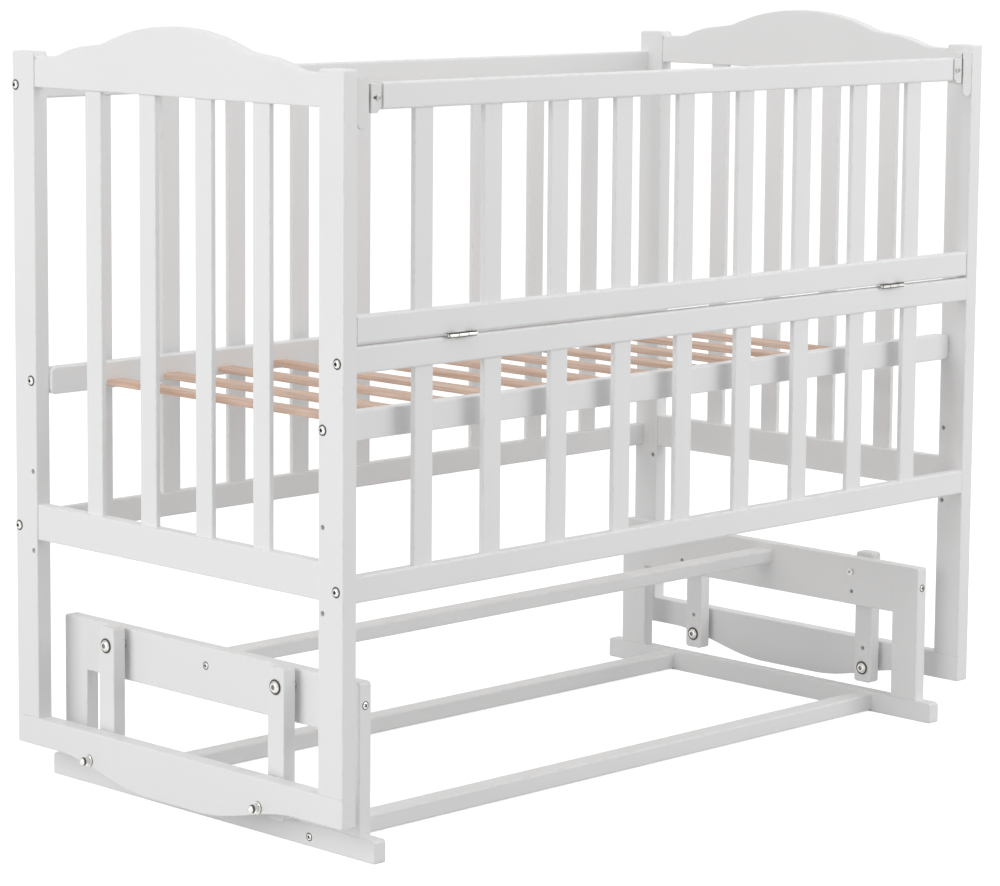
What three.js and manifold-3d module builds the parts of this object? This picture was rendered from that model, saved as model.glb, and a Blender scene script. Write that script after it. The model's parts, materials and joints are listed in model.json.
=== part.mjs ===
// A baby crib that swings from front to back on four arms in a low stand, with a fold-down front gate.
// Millimetres, +Z up. X runs along the crib, the gate is on the -Y side, the floor is at Z = 0.
import * as THREE from "three";
import { mergeVertices } from "three/addons/utils/BufferGeometryUtils.js";
import Module from "manifold-3d";

const wasm = await Module();
wasm.setup();

// Crib body: overall size over the posts
const cribLength = 1246;
const cribDepth = 648;
const postThickness = 23;
const postWidth = 45;
const postTop = 987;
const postEdge = 2;
const postCorner = 3;
const halfLength = cribLength / 2;
const halfDepth = cribDepth / 2;
const postInnerX = halfLength - postThickness;
const postInnerY = halfDepth - postWidth;

// Beams under the posts, with a belly curved down between the arms
const beamTop = 93;
const beamEndHeight = 38;
const beamMiddleHeight = 67;
const bellyFlatShare = 0.296;
const bellyBeyondPivot = 71;
const bellySteps = 12;
const boardEdge = 1.5;

// Rails and slats of the long sides
const railThickness = 16;
const railSetback = 1;
const railRound = 3;
const railOuterY = halfDepth - railSetback;
const railInnerY = railOuterY - railThickness;
const railMiddleY = railOuterY - railThickness / 2;
const lowRail = { bottom: 335, height: 34 };
const rearTopRailDrop = 64;
const rearTopRail = { bottom: postTop - rearTopRailDrop, height: 33 };
const middleRail = { bottom: 618, height: 33.5 };
const gateFoldGap = 3;
const gateLowRail = { bottom: middleRail.bottom + middleRail.height + gateFoldGap, height: 34.5 };
const gateTopRailDrop = 50;
const gateTopRail = { bottom: postTop - gateTopRailDrop, height: 33 };
const gateSideGap = 1;
const slatWidth = 32;
const slatThickness = 8;
const slatEdge = 2.5;
const slatCount = 9;
const slatPitch = (2 * postInnerX) / (slatCount + 1);
const gateSlatShift = -4.5;
const frontSlatShift = -3;
const rearSlatShift = -2.5;
const slatTenon = 8;

// Ends of the crib
const endRailThickness = 18;
const endRailInnerX = halfLength - (postThickness + endRailThickness) / 2;
const endLowRail = { bottom: 336, height: 48 };
const endSlatWidth = slatWidth;
const endSlatCount = 4;
const endSlatEndSpace = 114;
const endSlatPitch = (2 * (postInnerY - endSlatEndSpace)) / (endSlatCount - 1);
const archDrop = 47;
const archBottom = postTop - archDrop;
const archEndHeight = 41;
const archRise = 47;
const archSteps = 20;

// Arch of the head rail from the middle outwards, in shares of its half width and of its rise
const archShares = [
  [0, 1], [0.14, 0.96], [0.3, 0.81], [0.43, 0.59], [0.5, 0.45],
  [0.58, 0.385], [0.67, 0.325], [0.76, 0.2], [0.83, 0.06], [0.89, 0.01], [1, 0],
];

// Bed base, bolted at its highest place
const bedRailBottom = 530.5;
const bedRailHeight = 36;
const bedRailInset = 5;
const bedRailInnerY = postInnerY - bedRailInset;
const bedRailThickness = 20;
const bedRailCorner = 8;
const bedSlatWidth = 28;
const bedSlatThickness = 8;
const bedSlatLift = 4;
const bedSlatCount = 11;
const bedSlatEndSpace = 108;
const bedHoleInset = 8;
const bedHoleRadius = 3.25;
const bedHoleDrops = [120.5, 227.5];

// Stand and swing arms, set inwards from the crib's ends one after the other
const armBeamGap = 7;
const armThickness = 20;
const armBoardGap = 9;
const standThickness = 20;
const armOuterX = postInnerX - armBeamGap;
const armInnerX = armOuterX - armThickness;
const standOuterX = armInnerX - armBoardGap;
const standInnerX = standOuterX - standThickness;
const footLength = 642;
const footHeight = 30;
const standTop = 226;
const footOverhang = 27.5;
const standDepth = footLength - 2 * footOverhang;
const uprightWidth = 47;
const uprightInnerY = standDepth / 2 - uprightWidth;
const boardHeight = 70.5;
const footCorner = 5;
const uprightCorner = 4;
const standRailDepth = 30;
const standRailRound = 3;
const upperRailHeight = 20;
const upperRailDrop = 9;
const lowerRailHeight = 24;
const lowerRailLift = 2;
const lowerRailInset = 50;
const lowerRailY = uprightInnerY - lowerRailInset;
const standShift = 2.5;

// Pivots: the arms hang at the upper ones and carry the beams at the lower ones
const pivotInset = 77.5;
const pivotY = uprightInnerY - pivotInset;
const upperPivotDrop = 21;
const upperPivotZ = standTop - upperPivotDrop;
const pivotSpacing = 150;
const lowerPivotZ = upperPivotZ - pivotSpacing;
const armWidth = 31;
const armTopMargin = 25.5;
const armBottomMargin = 21.5;
const armCorner = 3;
const lockHoleRadius = 3;
const armLockHoleRise = 30;
const boardLockHoleDrop = 30;

// Pivot bolts with their spacers and nuts
const boltRadius = 3;
const boltClearance = 0.1;
const boltHeadRadius = 10;
const boltHeadHeight = 4;
const boltHeadChamfer = 2;
const spacerRadius = 8;
const axialGap = 0.4;
const nutRadius = 5;
const nutHeight = 5;
const boltTail = 1;
const capFlangeRadius = 8;
const capFlangeHeight = 2.5;
const capRadius = 5.5;
const capHeight = 14;
const capDomeHeight = 5;
const capDomeSteps = 3;
const roundSegments = 16;
const smallSegments = 12;

// Gate hinges
const hingeEndSpace = 175;
const hingeCentreX = postInnerX - hingeEndSpace;
const hingeLength = 48;
const hingeAxisOut = 4;
const hingeAxisY = -(railOuterY + hingeAxisOut);
const hingeAxisZ = gateLowRail.bottom - gateFoldGap / 2;
const knuckleRadius = 3.25;
const hingePinRadius = 1.5;
const hingePinClearance = 0.1;
const leafThickness = 1.25;
const leafSetback = 2;
const leafKnuckleGap = 0.5;
const middleKnuckleHalf = 8.5;
const knuckleEndGap = 0.25;

// Catches in the spaces between the gate's top rail and the front posts
const catchSpace = 43;
const gateTopHalf = postInnerX - catchSpace;
const housingGap = 4.5;
const housingLength = 16;
const housingDropBelowRail = 4;
const housingTopSetback = 1;
const housingCorner = 7;
const stubSetback = 4;
const stubMargin = 6;
const stubBackWall = 2;
const slideWidth = 8.2;
const slideHeight = 12.2;
const slideClearance = 0.4;
const slideTravel = 6;
const slideRestSetback = 0.5;
const slideLength = 13.5;
const slideBackWall = 3.4;
const knobRadius = 3.5;
const knobProud = 3;
const knobInset = 5;
const knobRise = 19;
const knobSlotMargin = 0.5;
const strikerThickness = 19;
const strikerPocketDepth = 8.5;
const strikerSetback = 1;
const strikerBlockDepth = 16;
const strikerTopRise = 8;
const strikerBlockDrop = 2;
const strikerPlateDrop = 19;
const strikerPlateThickness = 4;
const strikerRound = 8.5;

// Every cut runs past the face by this much.
const overrun = 1;

// The frame's origin is the middle of the whole outline, hinge knuckles included.
const originShiftY = (knuckleRadius - hingeAxisY - halfDepth) / 2;

const slots = {
  white_wood: new THREE.MeshStandardMaterial({ name: "white_wood", color: 0xf2f1ee, roughness: 0.45 }),
  bare_wood: new THREE.MeshStandardMaterial({ name: "bare_wood", color: 0xdcc1a4, roughness: 0.6 }),
  white_plastic: new THREE.MeshStandardMaterial({ name: "white_plastic", color: 0xebebea, roughness: 0.35 }),
  nickel: new THREE.MeshStandardMaterial({ name: "nickel", color: 0xc8c9cc, roughness: 0.25, metalness: 1 }),
};

const group = new THREE.Group();
group.name = "crib_with_swing_stand";

// One named solid is added in one material.
function add(name, geometry, slot) {
  const shape = geometry.index ? geometry.toNonIndexed() : geometry;
  shape.translate(0, originShiftY, 0);
  shape.deleteAttribute("uv");
  shape.computeVertexNormals();
  const mesh = new THREE.Mesh(shape, slots[slot]);
  mesh.name = name;
  group.add(mesh);
}

// Shared corners are merged and triangles with no area are left out.
function welded(geometry) {
  const bare = geometry.clone();
  bare.deleteAttribute("normal");
  bare.deleteAttribute("uv");
  const merged = mergeVertices(bare);
  const corners = merged.index.array;
  const kept = [];
  for (let i = 0; i < corners.length; i += 3) {
    const [a, b, c] = [corners[i], corners[i + 1], corners[i + 2]];
    if (a !== b && b !== c && c !== a) {
      kept.push(a, b, c);
    }
  }
  merged.setIndex(kept);
  return merged;
}

function toManifold(geometry) {
  const mesh = welded(geometry);
  return new wasm.Manifold(new wasm.Mesh({
    numProp: 3,
    vertProperties: new Float32Array(mesh.attributes.position.array),
    triVerts: new Uint32Array(mesh.index.array),
  }));
}

function fromManifold(solid) {
  const mesh = solid.getMesh();
  const geometry = new THREE.BufferGeometry();
  geometry.setAttribute("position", new THREE.BufferAttribute(new Float32Array(mesh.vertProperties), 3));
  geometry.setIndex(new THREE.BufferAttribute(new Uint32Array(mesh.triVerts), 1));
  return geometry;
}

function joined(geometries) {
  let solid = toManifold(geometries[0]);
  for (const geometry of geometries.slice(1)) {
    solid = solid.add(toManifold(geometry));
  }
  return fromManifold(solid);
}

function cut(geometry, tools) {
  let solid = toManifold(geometry);
  for (const tool of tools) {
    solid = solid.subtract(toManifold(tool));
  }
  return fromManifold(solid);
}

// Box from its low corner and its high corner.
function box(low, high) {
  const geometry = new THREE.BoxGeometry(high[0] - low[0], high[1] - low[1], high[2] - low[2]);
  geometry.translate((low[0] + high[0]) / 2, (low[1] + high[1]) / 2, (low[2] + high[2]) / 2);
  return geometry;
}

// Outline of a rectangle with a radius at each corner, listed from low-low round to low-high.
function roundedOutline(u0, u1, v0, v1, radii, steps = 3) {
  const corners = [
    [u0 + radii[0], v0 + radii[0], Math.PI, radii[0]],
    [u1 - radii[1], v0 + radii[1], Math.PI * 1.5, radii[1]],
    [u1 - radii[2], v1 - radii[2], 0, radii[2]],
    [u0 + radii[3], v1 - radii[3], Math.PI / 2, radii[3]],
  ];
  const points = [];
  for (const [cu, cv, start, radius] of corners) {
    const last = radius > 0 ? steps : 0;
    for (let k = 0; k <= last; k += 1) {
      const angle = start + (Math.PI / 2) * (k / steps);
      points.push(new THREE.Vector2(cu + radius * Math.cos(angle), cv + radius * Math.sin(angle)));
    }
  }
  return points;
}

// Outlines are drawn across an axis: in Y and Z for X, in Z and X for Y, in X and Y for Z.
const axisFrames = {
  X: new THREE.Matrix4().makeBasis(
    new THREE.Vector3(0, 1, 0), new THREE.Vector3(0, 0, 1), new THREE.Vector3(1, 0, 0)),
  Y: new THREE.Matrix4().makeBasis(
    new THREE.Vector3(0, 0, 1), new THREE.Vector3(1, 0, 0), new THREE.Vector3(0, 1, 0)),
  Z: new THREE.Matrix4(),
};

function extrude(axis, outline, low, high, edge = 0) {
  const geometry = new THREE.ExtrudeGeometry(new THREE.Shape(outline), {
    depth: high - low - 2 * edge,
    steps: 1,
    bevelEnabled: edge > 0,
    bevelThickness: edge,
    bevelSize: edge,
    bevelOffset: -edge,
    bevelSegments: 1,
  });
  geometry.translate(0, 0, low + edge);
  geometry.applyMatrix4(axisFrames[axis]);
  return geometry;
}

// Round tool along X for a hole through a board from low to high.
function drillX(low, high, y, z, radius, segments) {
  const geometry = new THREE.CylinderGeometry(radius, radius, high - low + 2 * overrun, segments);
  geometry.rotateZ(-Math.PI / 2);
  geometry.translate((low + high) / 2, y, z);
  return geometry;
}

// Round solid about a line along X, from [x, radius] pairs.
function turnedX(profile, y, z) {
  const points = profile.map(([x, radius]) => new THREE.Vector2(radius, x));
  const geometry = new THREE.LatheGeometry(points, roundSegments);
  geometry.rotateZ(-Math.PI / 2);
  geometry.translate(0, y, z);
  return welded(geometry);
}

// A piece drawn for the right-hand end (+X) stays there or is mirrored to the left-hand end.
function atEnd(side, geometry) {
  if (side > 0) {
    return geometry;
  }
  const flat = geometry.index ? geometry.toNonIndexed() : geometry.clone();
  const p = flat.attributes.position.array;
  for (let i = 0; i < p.length; i += 9) {
    for (let k = 0; k < 3; k += 1) {
      [p[i + 3 + k], p[i + 6 + k]] = [p[i + 6 + k], p[i + 3 + k]];
    }
  }
  for (let i = 0; i < p.length; i += 3) {
    p[i] = -p[i];
  }
  return flat;
}

function spacedPlaces(count, pitch) {
  return Array.from({ length: count }, (_, k) => (k - (count - 1) / 2) * pitch);
}

// The front-to-back place of a pivot.
function pivotPlace(sign) {
  return standShift + sign * pivotY;
}

// The front-to-back span, as [low, high], of a piece that stands from inner to outer on one side.
function spanY(sign, inner, outer) {
  return sign > 0 ? [inner, outer] : [-outer, -inner];
}

const ends = [[-1, "left"], [1, "right"]];
const sides = [[-1, "front"], [1, "rear"]];

// Corner post, with two spare holes for the bed base's lower places.
function post(sign) {
  const [y0, y1] = spanY(sign, postInnerY, halfDepth);
  const outline = roundedOutline(y0, y1, beamTop, postTop, [0, 0, postCorner, postCorner], 2);
  const bedBoltZ = bedRailBottom + bedRailHeight / 2;
  const holes = bedHoleDrops.map((drop) => drillX(
    postInnerX, halfLength, sign * (postInnerY + bedHoleInset), bedBoltZ - drop,
    bedHoleRadius, smallSegments));
  return cut(extrude("X", outline, postInnerX, halfLength, postEdge), holes);
}

// Beam under the two posts of one end.
function rockerBeam() {
  const bellyFlatHalf = bellyFlatShare * pivotY;
  const bellyRiseLength = pivotY + bellyBeyondPivot - bellyFlatHalf;
  const belly = [];
  for (let k = 0; k <= bellySteps; k += 1) {
    const share = k / bellySteps;
    const lift = ((beamMiddleHeight - beamEndHeight) * (1 - Math.cos(Math.PI * share))) / 2;
    belly.push([bellyFlatHalf + bellyRiseLength * share, beamTop - beamMiddleHeight + lift]);
  }
  const outline = [
    new THREE.Vector2(halfDepth, beamTop - beamEndHeight),
    new THREE.Vector2(halfDepth, beamTop),
    new THREE.Vector2(-halfDepth, beamTop),
    new THREE.Vector2(-halfDepth, beamTop - beamEndHeight),
    ...belly.slice().reverse().map(([y, z]) => new THREE.Vector2(-y, z)),
    ...belly.map(([y, z]) => new THREE.Vector2(y, z)),
  ];
  const holes = sides.map(([sign]) => drillX(
    postInnerX, halfLength, pivotPlace(sign), lowerPivotZ, boltRadius + boltClearance, roundSegments));
  return cut(extrude("X", outline, postInnerX, halfLength, boardEdge), holes);
}

// Arched rail at the head of each end.
function archedRail() {
  const curve = new THREE.SplineCurve(archShares.map(([outwards, rise]) => new THREE.Vector2(
    outwards * postInnerY, archBottom + archEndHeight + rise * archRise)));
  const half = curve.getPoints(archSteps);
  const outline = [
    new THREE.Vector2(-postInnerY, archBottom),
    new THREE.Vector2(postInnerY, archBottom),
    ...half.slice().reverse(),
    ...half.slice(1).map((point) => new THREE.Vector2(-point.x, point.y)),
  ];
  return extrude("X", outline, endRailInnerX, endRailInnerX + endRailThickness, boardEdge);
}

// A rail that lies along X, with rounded long edges.
function longRail(half, y0, y1, rail, round = railRound) {
  const outline = roundedOutline(y0, y1, rail.bottom, rail.bottom + rail.height, [round, round, round, round]);
  return extrude("X", outline, -half, half);
}

function uprightSlat(x, y, widthX, widthY, z0, z1) {
  const radii = [slatEdge, slatEdge, slatEdge, slatEdge];
  const outline = roundedOutline(x - widthX / 2, x + widthX / 2, y - widthY / 2, y + widthY / 2, radii, 2);
  return extrude("Z", outline, z0, z1);
}

// Slats of a long side: glued into the rail below, and as far into the rail above as its tenon says.
function longSideSlats(sign, low, high, shift, upperTenon) {
  return spacedPlaces(slatCount, slatPitch).map((x) => uprightSlat(
    x + shift, sign * railMiddleY, slatWidth, slatThickness,
    low.bottom + low.height - slatTenon, high.bottom + upperTenon));
}

// Side panel with its two rails and the slats glued between them.
function longPanel(sign, low, high, slatShift) {
  const [y0, y1] = spanY(sign, railInnerY, railOuterY);
  return joined([
    longRail(postInnerX, y0, y1, low),
    longRail(postInnerX, y0, y1, high),
    ...longSideSlats(sign, low, high, slatShift, slatTenon),
  ]);
}

// The end's lower rail with its slats, which stop under the arched rail.
function endPanel() {
  const top = endLowRail.bottom + endLowRail.height;
  const outline = roundedOutline(-postInnerY, postInnerY, endLowRail.bottom, top, [0, 0, 0, 0]);
  const rail = extrude("X", outline, endRailInnerX, endRailInnerX + endRailThickness, boardEdge);
  const slats = spacedPlaces(endSlatCount, endSlatPitch).map((y) => uprightSlat(
    endRailInnerX + endRailThickness / 2, y, slatThickness, endSlatWidth, top - slatTenon, archBottom));
  return joined([rail, ...slats]);
}

for (const [side, end] of ends) {
  for (const [sign, depth] of sides) {
    add(`post_${depth}_${end}`, atEnd(side, post(sign)), "white_wood");
  }
  add(`rocker_beam_${end}`, atEnd(side, rockerBeam()), "white_wood");
  add(`arched_rail_${end}`, atEnd(side, archedRail()), "white_wood");
  add(`end_panel_${end}`, atEnd(side, endPanel()), "white_wood");
}
add("rear_panel", longPanel(1, lowRail, rearTopRail, rearSlatShift), "white_wood");
add("front_lower_panel", longPanel(-1, lowRail, middleRail, frontSlatShift), "white_wood");

// Bed base: two rails between the posts and the slats between the rails.
function bedRail(sign) {
  const r = bedRailCorner;
  const outline = roundedOutline(
    bedRailBottom, bedRailBottom + bedRailHeight, -postInnerX, postInnerX, [r, r, r, r]);
  const [y0, y1] = spanY(sign, bedRailInnerY, bedRailInnerY + bedRailThickness);
  return extrude("Y", outline, y0, y1, boardEdge);
}

function bedSlat(x) {
  const bottom = bedRailBottom + bedSlatLift;
  const radii = [slatEdge, slatEdge, slatEdge, slatEdge];
  const outline = roundedOutline(
    bottom, bottom + bedSlatThickness, x - bedSlatWidth / 2, x + bedSlatWidth / 2, radii, 2);
  return extrude("Y", outline, -bedRailInnerY, bedRailInnerY);
}

for (const [sign, depth] of sides) {
  add(`bed_rail_${depth}`, bedRail(sign), "white_wood");
}
const bedSlatPitch = (2 * (postInnerX - bedSlatEndSpace)) / (bedSlatCount - 1);
spacedPlaces(bedSlatCount, bedSlatPitch).forEach((x, k) => {
  add(`bed_slat_${String(k + 1).padStart(2, "0")}`, bedSlat(x), "bare_wood");
});

// Stand: at each end a foot, two uprights and a board, joined by three long rails.
function standFoot() {
  const r = footCorner;
  const outline = roundedOutline(
    standShift - footLength / 2, standShift + footLength / 2, 0, footHeight, [0, 0, r, r], 4);
  return extrude("X", outline, standInnerX, standOuterX, boardEdge);
}

function standUpright(sign) {
  const r = uprightCorner;
  const [y0, y1] = spanY(sign, uprightInnerY, standDepth / 2).map((y) => y + standShift);
  const radii = sign > 0 ? [0, 0, r, 0] : [0, 0, 0, r];
  const outline = roundedOutline(y0, y1, footHeight, standTop, radii, 4);
  return extrude("X", outline, standInnerX, standOuterX, boardEdge);
}

function standBoard() {
  const outline = roundedOutline(
    standShift - uprightInnerY, standShift + uprightInnerY,
    standTop - boardHeight, standTop, [0, 0, 0, 0]);
  const holes = sides.flatMap(([sign]) => [
    drillX(standInnerX, standOuterX, pivotPlace(sign), upperPivotZ,
      boltRadius + boltClearance, roundSegments),
    drillX(standInnerX, standOuterX, pivotPlace(sign), upperPivotZ - boardLockHoleDrop,
      lockHoleRadius, smallSegments),
  ]);
  return cut(extrude("X", outline, standInnerX, standOuterX, boardEdge), holes);
}

function standRail(place, rail) {
  const y = standShift + place;
  return longRail(standInnerX, y - standRailDepth / 2, y + standRailDepth / 2, rail, standRailRound);
}

for (const [side, end] of ends) {
  add(`stand_foot_${end}`, atEnd(side, standFoot()), "white_wood");
  for (const [sign, depth] of sides) {
    add(`stand_upright_${depth}_${end}`, atEnd(side, standUpright(sign)), "white_wood");
  }
  add(`stand_board_${end}`, atEnd(side, standBoard()), "white_wood");
}
const upperRail = { bottom: standTop - upperRailDrop - upperRailHeight, height: upperRailHeight };
const lowerRail = { bottom: lowerRailLift, height: lowerRailHeight };
add("stand_rail_upper", standRail(0, upperRail), "white_wood");
for (const [sign, depth] of sides) {
  add(`stand_rail_lower_${depth}`, standRail(sign * lowerRailY, lowerRail), "white_wood");
}

// Swing arm, with a small hole for a pin that locks the crib when it is moved.
function swingArm(sign) {
  const y = pivotPlace(sign);
  const r = armCorner;
  const outline = roundedOutline(y - armWidth / 2, y + armWidth / 2,
    lowerPivotZ - armBottomMargin, upperPivotZ + armTopMargin, [r, r, r, r], 4);
  const holes = [
    drillX(armInnerX, armOuterX, y, upperPivotZ, boltRadius + boltClearance, roundSegments),
    drillX(armInnerX, armOuterX, y, lowerPivotZ, boltRadius + boltClearance, roundSegments),
    drillX(armInnerX, armOuterX, y, lowerPivotZ + armLockHoleRise, lockHoleRadius, smallSegments),
  ];
  return cut(extrude("X", outline, armInnerX, armOuterX, boardEdge), holes);
}

// Upper pivot: head on the arm's outer face, spacer between arm and board, nut on the board's inner face.
function upperPivotBolt(sign) {
  const headFrom = armOuterX + axialGap;
  const spacerTo = armInnerX - axialGap;
  const nutFrom = standInnerX - nutHeight;
  return turnedX([
    [nutFrom - boltTail, 0], [nutFrom - boltTail, boltRadius],
    [nutFrom, boltRadius], [nutFrom, nutRadius],
    [standInnerX, nutRadius], [standInnerX, boltRadius],
    [standOuterX, boltRadius], [standOuterX, spacerRadius],
    [spacerTo, spacerRadius], [spacerTo, boltRadius],
    [headFrom, boltRadius], [headFrom, boltHeadRadius],
    [headFrom + boltHeadHeight - boltHeadChamfer, boltHeadRadius],
    [headFrom + boltHeadHeight, boltHeadRadius - boltHeadChamfer],
    [headFrom + boltHeadHeight, 0],
  ], pivotPlace(sign), upperPivotZ);
}

// Lower pivot: head on the arm's inner face, spacer between arm and beam, domed nut on the outer face.
function lowerPivotBolt(sign) {
  const headTo = armInnerX - axialGap;
  const spacerFrom = armOuterX + axialGap;
  const domeFrom = halfLength + capHeight - capDomeHeight;
  const dome = [];
  for (let k = 0; k <= capDomeSteps; k += 1) {
    const angle = (Math.PI / 2) * (k / capDomeSteps);
    dome.push([domeFrom + capDomeHeight * Math.sin(angle), k < capDomeSteps ? capRadius * Math.cos(angle) : 0]);
  }
  return turnedX([
    [headTo - boltHeadHeight, 0], [headTo - boltHeadHeight, boltHeadRadius - boltHeadChamfer],
    [headTo - boltHeadHeight + boltHeadChamfer, boltHeadRadius],
    [headTo, boltHeadRadius], [headTo, boltRadius],
    [spacerFrom, boltRadius], [spacerFrom, spacerRadius],
    [postInnerX, spacerRadius], [postInnerX, boltRadius],
    [halfLength, boltRadius], [halfLength, capFlangeRadius],
    [halfLength + capFlangeHeight, capFlangeRadius], [halfLength + capFlangeHeight, capRadius],
    ...dome,
  ], pivotPlace(sign), lowerPivotZ);
}

for (const [side, end] of ends) {
  for (const [sign, depth] of sides) {
    add(`swing_arm_${depth}_${end}`, atEnd(side, swingArm(sign)), "white_wood");
    add(`pivot_bolt_upper_${depth}_${end}`, atEnd(side, upperPivotBolt(sign)), "nickel");
    add(`pivot_bolt_lower_${depth}_${end}`, atEnd(side, lowerPivotBolt(sign)), "nickel");
  }
}

// Gate: the upper part of the front, on hinges at its lower rail.
add("gate_top_rail", longRail(gateTopHalf, -railOuterY, -railInnerY, gateTopRail), "white_wood");
add("gate_low_rail_and_slats", joined([
  longRail(postInnerX - gateSideGap, -railOuterY, -railInnerY, gateLowRail),
  ...longSideSlats(-1, gateLowRail, gateTopRail, gateSlatShift, 0),
]), "white_wood");

const leafFrontY = hingeAxisY + knuckleRadius + leafKnuckleGap;
const leafRearY = -(railInnerY + leafSetback);

function hingeBarrel(low, high, radius) {
  return turnedX([[low, 0], [low, radius], [high, radius], [high, 0]], hingeAxisY, hingeAxisZ);
}

// Hinge leaf on the middle rail, with the two outer knuckles and the pin between them.
function fixedLeaf() {
  const z0 = middleRail.bottom + middleRail.height;
  const z1 = z0 + leafThickness;
  const half = hingeLength / 2;
  const knuckleFrom = middleKnuckleHalf + knuckleEndGap;
  const pieces = [box([hingeCentreX - half, leafFrontY, z0], [hingeCentreX + half, leafRearY, z1])];
  for (const [low, high] of [[-half, -knuckleFrom], [knuckleFrom, half]]) {
    pieces.push(box([hingeCentreX + low, hingeAxisY, z0], [hingeCentreX + high, leafFrontY, z1]));
    pieces.push(hingeBarrel(hingeCentreX + low, hingeCentreX + high, knuckleRadius));
  }
  pieces.push(hingeBarrel(hingeCentreX - half + overrun, hingeCentreX + half - overrun, hingePinRadius));
  return joined(pieces);
}

// Hinge leaf under the gate, with the middle knuckle that turns on the pin.
function gateLeaf() {
  const z1 = gateLowRail.bottom;
  const z0 = z1 - leafThickness;
  const half = hingeLength / 2;
  const [a, b] = [hingeCentreX - middleKnuckleHalf, hingeCentreX + middleKnuckleHalf];
  const leaf = joined([
    box([hingeCentreX - half, leafFrontY, z0], [hingeCentreX + half, leafRearY, z1]),
    box([a, hingeAxisY, z0], [b, leafFrontY, z1]),
    hingeBarrel(a, b, knuckleRadius),
  ]);
  return cut(leaf, [hingeBarrel(a - overrun, b + overrun, hingePinRadius + hingePinClearance)]);
}

const housingInnerX = gateTopHalf + housingGap;
const housingOuterX = housingInnerX + housingLength;
const housingBottom = gateTopRail.bottom - housingDropBelowRail;
const housingTop = gateTopRail.bottom + gateTopRail.height - housingTopSetback;
const knobX = housingInnerX + knobInset;
const slideZ = housingBottom + knobRise;
const slideRearY = -(railInnerY + slideBackWall);
const slideFrontY = slideRearY - slideWidth;

// The straight channel that the slide bolt runs in, from one X to another.
function slideChannel(x0, x1) {
  const c = slideClearance;
  const halfHeight = slideHeight / 2 + c;
  return box([x0, slideFrontY - c, slideZ - halfHeight], [x1, slideRearY + c, slideZ + halfHeight]);
}

// Housing on a stub at the end of the gate's top rail, with the channel and a slot for the knob.
function catchHousing() {
  const body = extrude("Y", [
    new THREE.Vector2(housingBottom, housingInnerX + housingCorner),
    new THREE.Vector2(housingBottom + housingCorner, housingInnerX),
    new THREE.Vector2(housingTop, housingInnerX),
    new THREE.Vector2(housingTop, housingOuterX),
    new THREE.Vector2(housingBottom, housingOuterX),
  ], -railOuterY, -railInnerY);
  const stub = box([gateTopHalf, -railOuterY + stubSetback, gateTopRail.bottom + stubMargin],
    [housingInnerX + overrun, -railInnerY - stubBackWall, housingTop - stubMargin]);
  const slotHalf = knobRadius + knobSlotMargin;
  const slot = box([knobX - slotHalf, -railOuterY - overrun, slideZ - slotHalf],
    [knobX + slideTravel + slotHalf, slideFrontY, slideZ + slotHalf]);
  const channelInnerX = housingOuterX - slideLength - 2 * slideRestSetback;
  return cut(joined([body, stub]), [slideChannel(channelInnerX, housingOuterX + overrun), slot]);
}

// Slide bolt with its round knob, drawn back so that the gate is free.
function catchSlide() {
  const outer = housingOuterX - slideRestSetback;
  const bar = box([outer - slideLength, slideFrontY, slideZ - slideHeight / 2],
    [outer, slideRearY, slideZ + slideHeight / 2]);
  const knobFront = -(railOuterY + knobProud);
  const knobRear = slideFrontY + overrun;
  const knob = new THREE.CylinderGeometry(knobRadius, knobRadius, knobRear - knobFront, roundSegments);
  knob.translate(knobX, (knobRear + knobFront) / 2, slideZ);
  return joined([bar, knob]);
}

// Keeper on the post: a thin plate with a round foot, and a block with the pocket for the bolt.
function catchStriker() {
  const x0 = postInnerX - strikerThickness;
  const frontY = -(halfDepth - strikerSetback);
  const top = housingTop + strikerTopRise;
  const r = strikerRound;
  const plate = extrude("Y", roundedOutline(
    housingBottom - strikerPlateDrop, top, x0, postInnerX, [r, 0, 0, r], 4),
  frontY, frontY + strikerPlateThickness);
  const block = box([x0, frontY, housingBottom - strikerBlockDrop],
    [postInnerX, frontY + strikerBlockDepth, top]);
  return cut(joined([plate, block]), [slideChannel(x0 - overrun, x0 + strikerPocketDepth)]);
}

for (const [side, end] of ends) {
  add(`hinge_leaf_fixed_${end}`, atEnd(side, fixedLeaf()), "nickel");
  add(`hinge_leaf_gate_${end}`, atEnd(side, gateLeaf()), "nickel");
  add(`catch_housing_${end}`, atEnd(side, catchHousing()), "white_plastic");
  add(`catch_slide_${end}`, atEnd(side, catchSlide()), "white_plastic");
  add(`catch_striker_${end}`, atEnd(side, catchStriker()), "white_plastic");
}

export default group;
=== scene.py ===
# The looks of a white wooden crib that swings in a low stand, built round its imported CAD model.
# Sizes are in millimetres and become metres where a mesh or a place is made. The bumps, the lamps,
# the floor and the camera's clipping are given in metres.
import json
import math

import bpy
from mathutils import Matrix, Vector

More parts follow.
